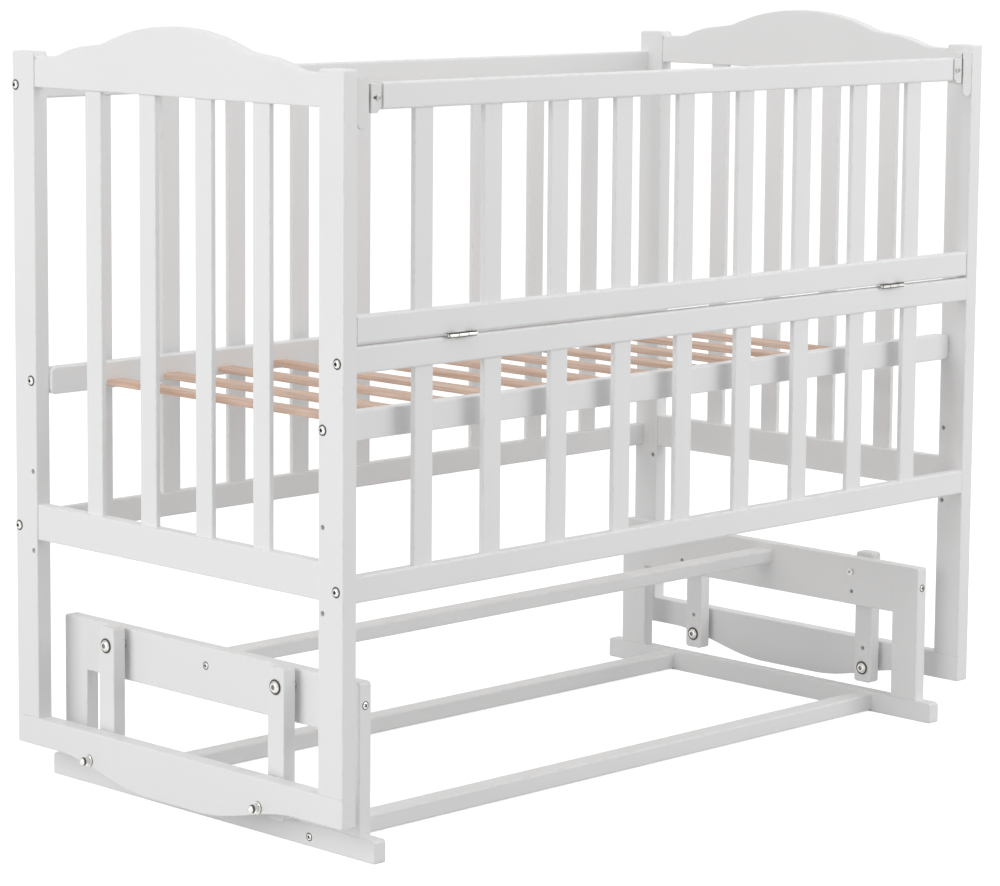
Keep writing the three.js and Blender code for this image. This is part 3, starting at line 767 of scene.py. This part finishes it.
def make_arched_rail(end):
    node = f"arched_rail_{end}"
    (x0, y0, z0), (x1, y1, z1) = node_box(node)
    half = (y1 - y0) / 2
    shoulder = z0 + ARCH_END_HEIGHT
    curve = [(p.x * half, shoulder + p.y * (z1 - shoulder)) for p in arch_curve()]
    corners = [(y0 - HOUSED, z0, 0), (y1 + HOUSED, z0, 0), (y1 + HOUSED, shoulder, 0)]
    corners += [(CRIB_Y + y, z, 0) for y, z in reversed(curve)]
    corners += [(CRIB_Y - y, z, 0) for y, z in curve[1:]]
    corners += [(y0 - HOUSED, shoulder, 0)]
    painted(prism(f"{node}_shaped", "X", corners, x0, x1), "Y", node)


def slat_places(count, pitch):
    return [(k - (count - 1) / 2) * pitch for k in range(count)]


def upright_slat(name, x, y, width_x, width_y, z0, z1):
    half_x, half_y = width_x / 2, width_y / 2
    outline = rectangle(x - half_x, x + half_x, y - half_y, y + half_y, (SLAT_ROUND,) * 4)
    return prism(name, "Z", outline, z0 - GLUED, z1 + GLUED, RAIL_RIM, plain=0)


def make_end_panel(end):
    node = f"end_panel_{end}"
    (x0, y0, z0), (x1, y1, z1) = node_box(node)
    rail_top = z0 + END_LOW_RAIL_HEIGHT
    outline = rectangle(y0 - HOUSED, y1 + HOUSED, z0, rail_top, (JOINT_ROUND,) * 4)
    painted(prism(f"{node}_rail", "X", outline, x0, x1), "Y", node)
    for k, y in enumerate(slat_places(END_SLAT_COUNT, END_SLAT_PITCH)):
        slat = upright_slat(f"{node}_slat_{k + 1}", (x0 + x1) / 2, CRIB_Y + y,
                            SLAT_THICKNESS, SLAT_WIDTH, rail_top, z1)
        painted(slat, "Z", node)


def long_rail(name, x0, x1, y0, y1, z0, z1, reach=HOUSED):
    outline = rectangle(y0, y1, z0, z1, (RAIL_ROUND,) * 4)
    return prism(name, "X", outline, x0 - reach, x1 + reach, RAIL_RIM)


def make_long_slats(node, y, z0, z1, shift):
    for k, x in enumerate(slat_places(LONG_SLAT_COUNT, LONG_SLAT_PITCH)):
        slat = upright_slat(f"{node}_slat_{k + 1}", x + shift, y, SLAT_WIDTH, SLAT_THICKNESS, z0, z1)
        painted(slat, "Z", node)


def make_long_panel(node, top_rail_height, slat_shift):
    (x0, y0, z0), (x1, y1, z1) = node_box(node)
    low_top = z0 + LOW_RAIL_HEIGHT
    high_bottom = z1 - top_rail_height
    painted(long_rail(f"{node}_low_rail", x0, x1, y0, y1, z0, low_top), "X", node)
    painted(long_rail(f"{node}_high_rail", x0, x1, y0, y1, high_bottom, z1), "X", node)
    make_long_slats(node, (y0 + y1) / 2, low_top, high_bottom, slat_shift)


def make_gate():
    node = "gate_low_rail_and_slats"
    (x0, y0, z0), (x1, y1, z1) = node_box(node)
    rail_top = z0 + GATE_LOW_RAIL_HEIGHT
    painted(long_rail(f"{node}_rail", x0, x1, y0, y1, z0, rail_top, 0), "X", node)
    make_long_slats(node, (y0 + y1) / 2, rail_top, z1, GATE_SLAT_SHIFT)
    (x0, y0, z0), (x1, y1, z1) = node_box("gate_top_rail")
    painted(long_rail("gate_top_rail_shaped", x0, x1, y0, y1, z0, z1, 0), "X", "gate_top_rail")


def make_bed():
    for _, depth in SIDES:
        node = f"bed_rail_{depth}"
        (x0, y0, z0), (x1, y1, z1) = node_box(node)
        outline = rectangle(z0, z1, x0, x1, (BED_RAIL_ROUND,) * 4)
        painted(prism(f"{node}_shaped", "Y", outline, y0, y1), "X", node)
    for node in sorted(n for n in frame["nodes"] if n.startswith("bed_slat_")):
        (x0, y0, z0), (x1, y1, z1) = node_box(node)
        outline = rectangle(z0, z1, x0, x1, (SLAT_ROUND,) * 4)
        slat = prism(f"{node}_shaped", "Y", outline, y0 - HOUSED, y1 + HOUSED, RAIL_RIM, plain=0)
        placed(slat, BARE, "bare_wood", body_of(node), node)


# Stand and arms

def pivot_place(level, depth, end):
    low, high = node_box(f"pivot_bolt_{level}_{depth}_{end}")
    return (low[1] + high[1]) / 2, (low[2] + high[2]) / 2


def make_stand_end(end):
    foot = f"stand_foot_{end}"
    (x0, y0, z0), (x1, y1, z1) = node_box(foot)
    outline = rectangle(y0, y1, z0, z1, (OUTER_ROUND, OUTER_ROUND, FOOT_ROUND, FOOT_ROUND))
    painted(prism(f"{foot}_shaped", "X", outline, x0, x1), "Y", foot)
    for sign, depth in SIDES:
        upright = f"stand_upright_{depth}_{end}"
        (x0, y0, z0), (x1, y1, z1) = node_box(upright)
        radii = [JOINT_ROUND] * 4
        radii[2 if sign > 0 else 3] = UPRIGHT_ROUND
        outline = rectangle(y0, y1, z0 - SEATED, z1, radii)
        painted(prism(f"{upright}_shaped", "X", outline, x0, x1), "Z", upright)
    board = f"stand_board_{end}"
    (x0, y0, z0), (x1, y1, z1) = node_box(board)
    outline = rectangle(y0 - HOUSED, y1 + HOUSED, z0, z1, (JOINT_ROUND,) * 4)
    places = [pivot_place("upper", depth, end) for _, depth in SIDES]
    tools = [hole_tool(y, z - BOARD_LOCK_DROP, x0, x1, LOCK_HOLE_RADIUS) for y, z in places]
    painted(holed(prism(f"{board}_shaped", "X", outline, x0, x1), tools), "Y", board)


def make_stand_rails():
    for node in ("stand_rail_upper", "stand_rail_lower_front", "stand_rail_lower_rear"):
        (x0, y0, z0), (x1, y1, z1) = node_box(node)
        painted(long_rail(f"{node}_shaped", x0, x1, y0, y1, z0, z1), "X", node)


def make_arm(depth, end):
    node = f"swing_arm_{depth}_{end}"
    (x0, y0, z0), (x1, y1, z1) = node_box(node)
    outline = rectangle(y0, y1, z0, z1, (ARM_ROUND,) * 4)
    y, z = pivot_place("lower", depth, end)
    tool = hole_tool(y, z + ARM_LOCK_RISE, x0, x1, LOCK_HOLE_RADIUS)
    painted(holed(prism(f"{node}_shaped", "X", outline, x0, x1), [tool]), "Z", node)


# Bolts, nuts and screws

def with_painted_shade(tool):
    """A cutter that leaves a recess with painted shade on its faces."""
    tool.data.attributes["wear_and_shade"].data.foreach_set("value", [1.0] * len(tool.data.vertices))
    return tool


def head_rows(kind):
    """Rows of a domed head from the face that it rests on, with painted shade on the brim round its
    dome.
    """
    radius, height, flat, wall = kind["radius"], kind["height"], kind["flat"], kind["wall"]
    foot = radius - kind["brim"]
    edge = radius - SHANK_CHAMFER / 2
    rows = [(0, edge, 1), (wall / 2, radius, 1), (wall, edge, 1), (wall, foot, 1)]
    for k in range(1, DOME_STEPS + 1):
        share = k / DOME_STEPS
        rise = (height - wall) * math.sin(math.pi / 2 * share)
        rows.append((wall + rise, foot + (flat - foot) * share, 0))
    if flat > 0:
        rows.append((height, 0, 0))
    else:
        rows[-1] = (height, 0, 0)
    return rows


def shank_rows(length):
    """Rows of a shank below its head. A head without one starts flat."""
    # The rows start with painted shade: full under a head without a shank, and a share on the shank's
    # end.
    if length == 0:
        return [(0, 0, 1)]
    return [
        (-length, 0, SHANK_PAINTED_SHADE), (-length, SHANK_RADIUS - SHANK_CHAMFER, SHANK_PAINTED_SHADE),
        (SHANK_CHAMFER - length, SHANK_RADIUS, 0), (0, SHANK_RADIUS, 0),
    ]


def socket_bolt(name, kind, shank):
    """Bolt with a domed head and a hexagon socket; its head rests on Z = 0."""
    bolt = turned(name, shank_rows(shank) + head_rows(kind))
    tool = prism("socket", "Z", regular(HEXAGON, kind["socket"]), kind["height"] - kind["depth"],
                 kind["height"] + PAST, **SHARP_EDGES)
    # The socket's faces get painted shade.
    return taken_out(bolt, [with_painted_shade(tool)])


def cross_screw(name, kind):
    """Flat domed screw head with a cross recess."""
    screw = turned(name, shank_rows(0) + head_rows(kind))
    reach = kind["radius"] * CROSS_REACH_SHARE
    half = kind["radius"] * CROSS_WIDTH_SHARE
    plus = [
        (reach, -half), (reach, half), (half, half), (half, reach), (-half, reach), (-half, half),
        (-reach, half), (-reach, -half), (-half, -half), (-half, -reach), (half, -reach), (half, -half),
    ]
    tool = prism("cross", "Z", [(u, v, 0) for u, v in plus],
                 kind["height"] - kind["depth"], kind["height"] + PAST, **SHARP_EDGES)
    # The cross recess's faces get painted shade.
    return taken_out(screw, [with_painted_shade(tool)])


def spacer(name, length):
    # The spacer's faces and rims carry painted shade.
    edge = SPACER_RADIUS - SPACER_CHAMFER
    return turned(name, [
        (0, 0, SPACER_FACE_PAINTED_SHADE), (0, edge, SPACER_FACE_PAINTED_SHADE),
        (SPACER_CHAMFER, SPACER_RADIUS, SPACER_RIM_PAINTED_SHADE),
        (length - SPACER_CHAMFER, SPACER_RADIUS, SPACER_RIM_PAINTED_SHADE),
        (length, edge, SPACER_FACE_PAINTED_SHADE), (length, 0, 0),
    ])


def hexagon_nut(name):
    """Hexagon nut whose corners are turned off at both faces."""
    top, radius = NUT_HEIGHT, NUT_RADIUS
    nut = prism(name, "Z", regular(HEXAGON, radius), 0, top, NUT_RIM, rim_steps=1, plain=0)
    inner = radius * math.cos(math.pi / HEXAGON)
    reach = 2 * radius
    shell = turned("shell", [
        (-PAST, 0, 0), (-PAST, inner - PAST, 0), (0, inner, 0),
        (NUT_CHAMFER, radius, 0), (top - NUT_CHAMFER, radius, 0),
        (top, inner, 0), (top + PAST, inner - PAST, 0), (top + PAST, 0, 0),
    ])
    low, high = -PAST / 2, top + PAST / 2
    block = turned("block", [(low, 0, 0), (low, reach, 0), (high, reach, 0), (high, 0, 0)])
    return taken_out(nut, [taken_out(block, [shell])])


def cap_nut_rows():
    """Domed cap nut on its flange, with painted shade: a dark ring where the dome starts, and darker
    foot and sides.
    """
    bevel = CAP_FLANGE_FOOT_BEVEL
    bevel_in, bevel_down = CAP_FLANGE_TOP_BEVEL
    rows = [
        (0, 0, 1), (0, CAP_FLANGE_RADIUS - bevel, 1), (bevel, CAP_FLANGE_RADIUS, CAP_FOOT_PAINTED_SHADE),
        (CAP_FLANGE_HEIGHT - bevel_down, CAP_FLANGE_RADIUS, CAP_SIDE_PAINTED_SHADE),
        (CAP_FLANGE_HEIGHT, CAP_FLANGE_RADIUS - bevel_in, 0),
        (CAP_FLANGE_HEIGHT, CAP_RADIUS, CAP_RING_PAINTED_SHADE),
        (CAP_FLANGE_HEIGHT + CAP_BAND, CAP_RADIUS, CAP_SIDE_PAINTED_SHADE),
        (CAP_HEIGHT - CAP_DOME - CAP_BAND, CAP_RADIUS, CAP_SIDE_PAINTED_SHADE),
    ]
    for k in range(DOME_STEPS + 1):
        angle = math.pi / 2 * k / DOME_STEPS
        radius = CAP_RADIUS * math.cos(angle) if k < DOME_STEPS else 0
        drop = CAP_DOME * (1 - math.sin(angle))
        rows.append((CAP_HEIGHT - drop, radius, 1 if k < CAP_PAINTED_SHADE_ROWS else 0))
    return rows


def painted_shade_above_and_below(barrel):
    """Painted shade along the top and the bottom of a barrel that lies along X."""
    turn = barrel.matrix_world.to_3x3()
    wear_and_shade = barrel.data.attributes["wear_and_shade"].data
    for row, vertex in zip(wear_and_shade, barrel.data.vertices):
        height = abs((turn @ vertex.co).z) / (KNUCKLE_RADIUS * MM)
        row.value = max(row.value, min((height - PAINTED_SHADE_START) / PAINTED_SHADE_FADE, 1))


def make_pivots(side, depth, end):
    upper = f"pivot_bolt_upper_{depth}_{end}"
    lower = f"pivot_bolt_lower_{depth}_{end}"
    arm = node_box(f"swing_arm_{depth}_{end}")
    board = node_box(f"stand_board_{end}")
    beam = node_box(f"rocker_beam_{end}")
    faces = [abs(v) for pair in (arm, board, beam) for v in (pair[0][0], pair[1][0])]
    arm_in, arm_out = sorted(faces[0:2])
    board_in, board_out = sorted(faces[2:4])
    beam_in, beam_out = sorted(faces[4:6])

    y, z = pivot_place("upper", depth, end)
    body = body_of(upper)
    head_x = arm_out + AXIAL_GAP
    bolt = socket_bolt(f"{upper}_screw", PIVOT_HEAD, head_x - board_in + NUT_HEIGHT + SHANK_TAIL)
    metal(bolt, (side * head_x, y, z), (side, 0, 0), body, upper, spin=UPPER_BOLT_TURN)
    ring = spacer(f"{upper}_spacer", arm_in - AXIAL_GAP - board_out)
    metal(ring, (side * board_out, y, z), (side, 0, 0), body, upper)
    nut = hexagon_nut(f"{upper}_nut")
    metal(nut, (side * board_in, y, z), (-side, 0, 0), body, upper, spin=UPPER_NUT_TURN)

    y, z = pivot_place("lower", depth, end)
    body = body_of(lower)
    head_x = arm_in - AXIAL_GAP
    bolt = socket_bolt(f"{lower}_screw", PIVOT_HEAD, beam_out - head_x + CAP_FLANGE_HEIGHT)
    metal(bolt, (side * head_x, y, z), (-side, 0, 0), body, lower, spin=LOWER_BOLT_TURN)
    ring = spacer(f"{lower}_spacer", beam_in - arm_out - AXIAL_GAP)
    metal(ring, (side * (arm_out + AXIAL_GAP), y, z), (side, 0, 0), body, lower)
    cap = turned(f"{lower}_cap_nut", cap_nut_rows())
    metal(cap, (side * beam_out, y, z), (side, 0, 0), body, lower)


def make_frame_bolts():
    """Connecting bolts through the posts into the rails and the bed's rails."""
    master = socket_bolt("frame_bolt", FRAME_HEAD, 0)
    for (side, end), (sign, depth) in ((e, s) for e in ENDS for s in SIDES):
        low, high = node_box(f"post_{depth}_{end}")
        outer_x = high[0] if side > 0 else low[0]
        places = REAR_POST_BOLTS if sign > 0 else FRONT_POST_BOLTS
        for k, (out, z) in enumerate(places):
            bolt = added(f"frame_bolt_{depth}_{end}_{k + 1}", master.data)
            metal(bolt, (outer_x, CRIB_Y + sign * out, z), (side, 0, 0),
                  body_of(f"post_{depth}_{end}"), spin=FRAME_BOLT_TURN * k)
    bpy.data.objects.remove(master)


def make_stand_screws():
    """Screws that hold the stand's rails: in the boards, the uprights and the feet."""
    master = cross_screw("stand_screw", STAND_SCREW)
    rail_low, rail_high = node_box("stand_rail_upper")
    rail_y = (rail_low[1] + rail_high[1]) / 2
    rows = []
    for side, end in ENDS:
        foot_low, foot_high = node_box(f"stand_foot_{end}")
        outer_x = foot_high[0] if side > 0 else foot_low[0]
        middle_x = (foot_low[0] + foot_high[0]) / 2
        board_top = node_box(f"stand_board_{end}")[1][2]
        rows.append((f"board_{end}", (outer_x, rail_y, board_top - BOARD_SCREW_DROP), (side, 0, 0)))
        for sign, depth in SIDES:
            low, high = node_box(f"stand_upright_{depth}_{end}")
            face_y = high[1] if sign > 0 else low[1]
            rows.append((f"upright_{depth}_{end}", (middle_x, face_y, high[2] - UPRIGHT_SCREW_DROP),
                         (0, sign, 0)))
            low, high = node_box(f"stand_rail_lower_{depth}")
            screw_y = (low[1] + high[1]) / 2 + sign * FOOT_SCREW_OUT
            rows.append((f"foot_{depth}_{end}", (outer_x, screw_y, FOOT_SCREW_Z[depth]), (side, 0, 0)))
    for k, (name, place, direction) in enumerate(rows):
        metal(added(f"stand_screw_{name}", master.data), place, direction, "stand",
              spin=STAND_SCREW_TURN * k)
    bpy.data.objects.remove(master)


# Hinges

def barrel_rows(low, high):
    radius, bevel = KNUCKLE_RADIUS, KNUCKLE_CHAMFER
    # The barrel's ends and edges carry painted shade.
    return [
        (low, 0, 1), (low, radius - bevel, 1), (low + bevel, radius, KNUCKLE_EDGE_PAINTED_SHADE),
        (low + 2 * bevel, radius, 0), (high - 2 * bevel, radius, 0),
        (high - bevel, radius, KNUCKLE_EDGE_PAINTED_SHADE), (high, radius - bevel, 1), (high, 0, 1),
    ]


def pin_rows():
    foot = PIN_HEAD_FOOT
    crown_in, crown_down = PIN_HEAD_CROWN
    # The pin head's foot carries painted shade.
    return [
        (0, 0, 1), (0, PIN_HEAD_RADIUS - foot, 1), (foot, PIN_HEAD_RADIUS, PIN_EDGE_PAINTED_SHADE),
        (PIN_HEAD - crown_down, PIN_HEAD_RADIUS - crown_in, 0),
        (PIN_HEAD, PIN_RADIUS, 0), (PIN_HEAD, 0, 0),
    ]


def make_hinge(end, screw_mesh):
    fixed, moving = f"hinge_leaf_fixed_{end}", f"hinge_leaf_gate_{end}"
    low, high = node_box(fixed)
    centre_x = (low[0] + high[0]) / 2
    axis_y, axis_z = HINGE_AXIS[0] + CRIB_Y, HINGE_AXIS[1]
    leaf_front, leaf_rear = LEAF_FRONT + CRIB_Y, LEAF_REAR + CRIB_Y
    inner = MIDDLE_KNUCKLE_HALF + KNUCKLE_GAP
    fixed_tabs = ((-HINGE_HALF, -inner), (inner, HINGE_HALF))
    moving_tabs = ((-MIDDLE_KNUCKLE_HALF, MIDDLE_KNUCKLE_HALF),)
    moving_z0 = node_box(moving)[1][2] - LEAF_THICKNESS
    for node, tabs, z0 in ((fixed, fixed_tabs, low[2]), (moving, moving_tabs, moving_z0)):
        body = body_of(node)
        z1 = z0 + LEAF_THICKNESS
        outline = rectangle(centre_x - HINGE_HALF, centre_x + HINGE_HALF, leaf_front - LEAF_WEB_LAP,
                            leaf_rear, (0, 0, LEAF_ROUND, LEAF_ROUND))
        leaf = prism(f"{node}_plate", "Z", outline, z0, z1, **LEAF_RIM)
        placed(leaf, NICKEL, "nickel", body, node)
        for k, (a, b) in enumerate(tabs):
            web = rectangle(centre_x + a, centre_x + b, axis_y, leaf_front, (0,) * 4)
            piece = prism(f"{node}_web_{k + 1}", "Z", web, z0, z1, plain=0, **LEAF_RIM)
            placed(piece, NICKEL, "nickel", body, node)
            knuckle = turned(f"{node}_knuckle_{k + 1}", barrel_rows(a, b))
            aimed(knuckle, (centre_x, axis_y, axis_z), (1, 0, 0))
            # Painted shade along the knuckle's top and bottom.
            painted_shade_above_and_below(knuckle)
            placed(knuckle, NICKEL, "nickel", body, node)
        up = 1 if node == fixed else -1
        face_z = z1 if node == fixed else z0
        for k in range(HINGE_SCREW_COUNT):
            screw = added(f"{node}_screw_{k + 1}", screw_mesh)
            out = (k - (HINGE_SCREW_COUNT - 1) / 2) * LEAF_SCREW_SPACING
            place = (centre_x + out, (leaf_front + leaf_rear) / 2, face_z)
            metal(screw, place, (0, 0, up), body, spin=HINGE_SCREW_TURN * k + HINGE_SCREW_FIRST_TURN)
    for sign, pin_end in ENDS:
        pin = turned(f"{fixed}_pin_{pin_end}", pin_rows(), PIN_STEPS)
        metal(pin, (centre_x + sign * HINGE_HALF, axis_y, axis_z), (sign, 0, 0), body_of(fixed), fixed)


# Catches

def box_tool(name, low, high):
    outline = rectangle(low[0], high[0], low[1], high[1], (0,) * 4)
    return prism(name, "Z", outline, low[2], high[2], **SHARP_EDGES)


def slide_room(x0, x1, slide):
    """Cutter for the room from x0 to x1 in which a slide bolt runs."""
    low, high = node_box(slide)
    front = high[1] - SLIDE_WIDTH
    return box_tool("slide_room", (x0, front - SLIDE_CLEARANCE, low[2] - SLIDE_CLEARANCE),
                    (x1, high[1] + SLIDE_CLEARANCE, high[2] + SLIDE_CLEARANCE))


def make_housing(side, node, slide):
    """A stub on the rail's end, and a shell with the knob's slot.

    Returns the knob's x, the housing's front and the knob's z.
    """
    (x0, y0, z0), (x1, y1, z1) = node_box(node)
    rail_x, far_x = (x0, x1) if side > 0 else (x1, x0)
    shell_x = rail_x + side * HOUSING_GAP
    stub_ends = sorted((rail_x, shell_x + side * HOUSED))
    outline = rectangle(z0 + STUB_RISE, z1 - STUB_DROP, *stub_ends, (0,) * 4)
    plastic(prism(f"{node}_stub", "Y", outline, y0 + STUB_SETBACK, y1 - STUB_BACK_WALL, RAIL_RIM), node)

    x0, x1 = sorted((shell_x, far_x))
    cut, small, large = HOUSING_CORNER, CATCH_ROUND, HOUSING_CORNER_ROUND
    if side > 0:
        corners = [(z0, x0 + cut, large), (z0 + cut, x0, large), (z1, x0, small), (z1, x1, small),
                   (z0, x1, small)]
    else:
        corners = [(z0, x0, small), (z1, x0, small), (z1, x1, small), (z0 + cut, x1, large),
                   (z0, x1 - cut, large)]
    shell = prism(f"{node}_shell", "Y", corners, y0, y1, CATCH_RIM)
    slide_low, slide_high = node_box(slide)
    knob_x, knob_z = shell_x + side * KNOB_INSET, z0 + KNOB_RISE
    half = NECK_RADIUS + KNOB_SLOT_MARGIN
    slot_ends = sorted((knob_x - side * half, knob_x + side * (SLIDE_TRAVEL + half)))
    outline = rectangle(knob_z - half, knob_z + half, *slot_ends, (half - SLOT_END_FLAT,) * 4)
    slot = prism("slot", "Y", outline, y0 - PAST, slide_high[1] - SLIDE_WIDTH, **SHARP_EDGES)
    if side > 0:
        room = slide_room(slide_low[0] - SLIDE_REST, x1 + PAST, slide)
    else:
        room = slide_room(x0 - PAST, slide_high[0] + SLIDE_REST, slide)
    plastic(taken_out(shell, [slot, room]), node)
    return knob_x, y0, knob_z


def make_slide(node, knob_x, housing_front, knob_z):
    """A bar, and a knob on a neck that goes through the housing's slot."""
    (x0, _, z0), (x1, rear, z1) = node_box(node)
    front = rear - SLIDE_WIDTH
    outline = rectangle(z0, z1, x0, x1, (CATCH_ROUND,) * 4)
    plastic(prism(f"{node}_bar", "Y", outline, front, rear, CATCH_RIM), node)
    root = front + KNOB_LAP
    depth = root - (housing_front - KNOB_PROUD)
    under = depth - KNOB_PROUD + KNOB_GAP
    # The knob's neck, underside, face and dish carry shares of painted shade.
    rows = [(0, 0, NECK_PAINTED_SHADE), (0, NECK_RADIUS, NECK_PAINTED_SHADE), (under, NECK_RADIUS, NECK_PAINTED_SHADE)]
    rows += [(under + rise, KNOB_RADIUS - inward, painted_shade) for rise, inward, painted_shade in KNOB_UNDERSIDE_ROWS]
    rows += [(depth + rise, KNOB_RADIUS - inward, painted_shade) for rise, inward, painted_shade in KNOB_FACE_ROWS]
    rows.append((depth - KNOB_DISH, 0, KNOB_DISH_PAINTED_SHADE))
    knob = turned(f"{node}_knob", rows)
    metal(knob, (knob_x, root, knob_z), (0, -1, 0), body_of(node), node)


def make_striker(side, node, slide):
    """A plate on the post, and a block with a pocket for the slide bolt."""
    (x0, y0, z0), (x1, y1, z1) = node_box(node)
    outline = rectangle(z0, z1, x0, x1, (STRIKER_ROUND, CATCH_ROUND, CATCH_ROUND, STRIKER_ROUND))
    plastic(prism(f"{node}_plate", "Y", outline, y0, y0 + STRIKER_PLATE, CATCH_RIM), node)
    outline = rectangle(z0 + STRIKER_PLATE_DROP, z1, x0, x1, (CATCH_ROUND,) * 4)
    block = prism(f"{node}_block", "Y", outline, y0 + HOUSED, y1, CATCH_RIM)
    mouth = (x0 - PAST, x0 + STRIKER_POCKET) if side > 0 else (x1 - STRIKER_POCKET, x1 + PAST)
    plastic(taken_out(block, [slide_room(*mouth, slide)]), node)


def make_catch(side, end):
    housing, slide, striker = (f"catch_{part}_{end}" for part in ("housing", "slide", "striker"))
    knob_place = make_housing(side, housing, slide)
    make_slide(slide, *knob_place)
    make_striker(side, striker, slide)


for end_side, end_name in ENDS:
    for depth_sign, depth_name in SIDES:
        make_post(depth_sign, depth_name, end_name)
        make_arm(depth_name, end_name)
        make_pivots(end_side, depth_name, end_name)
    make_beam(end_name)
    make_arched_rail(end_name)
    make_end_panel(end_name)
    make_stand_end(end_name)
make_long_panel("rear_panel", REAR_TOP_RAIL_HEIGHT, REAR_SLAT_SHIFT)
make_long_panel("front_lower_panel", MIDDLE_RAIL_HEIGHT, FRONT_SLAT_SHIFT)
make_gate()
make_bed()
make_stand_rails()
make_frame_bolts()
make_stand_screws()
hinge_screw = cross_screw("hinge_screw", HINGE_SCREW)
for end_side, end_name in ENDS:
    make_hinge(end_name, hinge_screw.data)
    make_catch(end_side, end_name)
bpy.data.objects.remove(hinge_screw)


# Floor, light and camera

def any_ray(tree, *outputs):
    """1 for a ray of any of the kinds named."""
    rays = tree.nodes.new("ShaderNodeLightPath")
    value = rays.outputs[outputs[0]]
    for name in outputs[1:]:
        value = combined(tree, "MAXIMUM", value, rays.outputs[name])
    return value


def make_floor():
    half = FLOOR_SIZE / 2
    mesh = bpy.data.meshes.new("floor")
    corners = [(-half, -half, 0), (half, -half, 0), (half, half, 0), (-half, half, 0)]
    mesh.from_pydata(corners, [], [[0, 1, 2, 3]])
    floor = added("floor", mesh)
    material = bpy.data.materials.new("floor")
    material.use_nodes = True
    tree = material.node_tree
    tree.nodes.clear()
    paper = tree.nodes.new("ShaderNodeBsdfDiffuse")
    paper.inputs["Color"].default_value = (FLOOR_COLOUR,) * 3 + (1,)
    glow = tree.nodes.new("ShaderNodeEmission")
    seen = any_ray(tree, "Is Camera Ray", "Is Glossy Ray", "Is Transmission Ray")
    tree.links.new(mapped(tree, seen, (0, 1), (0, FLOOR_GLOW)), glow.inputs["Strength"])
    both = tree.nodes.new("ShaderNodeAddShader")
    output = tree.nodes.new("ShaderNodeOutputMaterial")
    tree.links.new(paper.outputs[0], both.inputs[0])
    tree.links.new(glow.outputs[0], both.inputs[1])
    tree.links.new(both.outputs[0], output.inputs["Surface"])
    mesh.materials.append(material)


def make_world():
    world = bpy.data.worlds.new("studio")
    world.use_nodes = True
    tree = world.node_tree
    tree.nodes.clear()
    light = tree.nodes.new("ShaderNodeBackground")
    light.inputs["Strength"].default_value = WORLD_LIGHT
    light.inputs["Color"].default_value = (1, 1, 1, 1)
    white = tree.nodes.new("ShaderNodeBackground")
    white.inputs["Strength"].default_value = 1
    white.inputs["Color"].default_value = (1, 1, 1, 1)
    choice = tree.nodes.new("ShaderNodeMixShader")
    output = tree.nodes.new("ShaderNodeOutputWorld")
    seen = any_ray(tree, "Is Camera Ray", "Is Glossy Ray", "Is Transmission Ray")
    tree.links.new(seen, choice.inputs[0])
    tree.links.new(light.outputs[0], choice.inputs[1])
    tree.links.new(white.outputs[0], choice.inputs[2])
    tree.links.new(choice.outputs[0], output.inputs["Surface"])
    bpy.context.scene.world = world


def make_lamps():
    for row in LAMPS:
        data = bpy.data.lights.new(row["name"], "AREA")
        data.shape = "SQUARE"
        data.size = row["size"]
        data.energy = row["power"]
        lamp = added(row["name"], data)
        lamp.location = row["place"]
        towards = Vector(LAMP_TARGET) - Vector(row["place"])
        lamp.rotation_euler = towards.to_track_quat("-Z", "Y").to_euler()


def make_camera():
    azimuth, elevation = math.radians(CAMERA_AZIMUTH), math.radians(CAMERA_ELEVATION)
    back = Vector((math.sin(azimuth) * math.cos(elevation), -math.cos(azimuth) * math.cos(elevation),
                   math.sin(elevation)))
    data = bpy.data.cameras.new("photo_camera")
    data.sensor_width = SENSOR_WIDTH
    data.lens = LENS
    data.shift_y = SHIFT_Y
    data.clip_start = CLIP_START
    data.clip_end = CLIP_END
    camera = added("photo_camera", data)
    turn = (-back).to_track_quat("-Z", "Y").to_matrix().to_4x4()
    place = Matrix.Translation((Vector(CAMERA_TARGET) + back * CAMERA_DISTANCE) * MM)
    camera.matrix_world = place @ turn @ Matrix.Rotation(math.radians(CAMERA_ROLL), 4, "Z")
    bpy.context.scene.camera = camera


make_floor()
make_world()
make_lamps()
make_camera()
bpy.context.scene.view_settings.view_transform = "Standard"
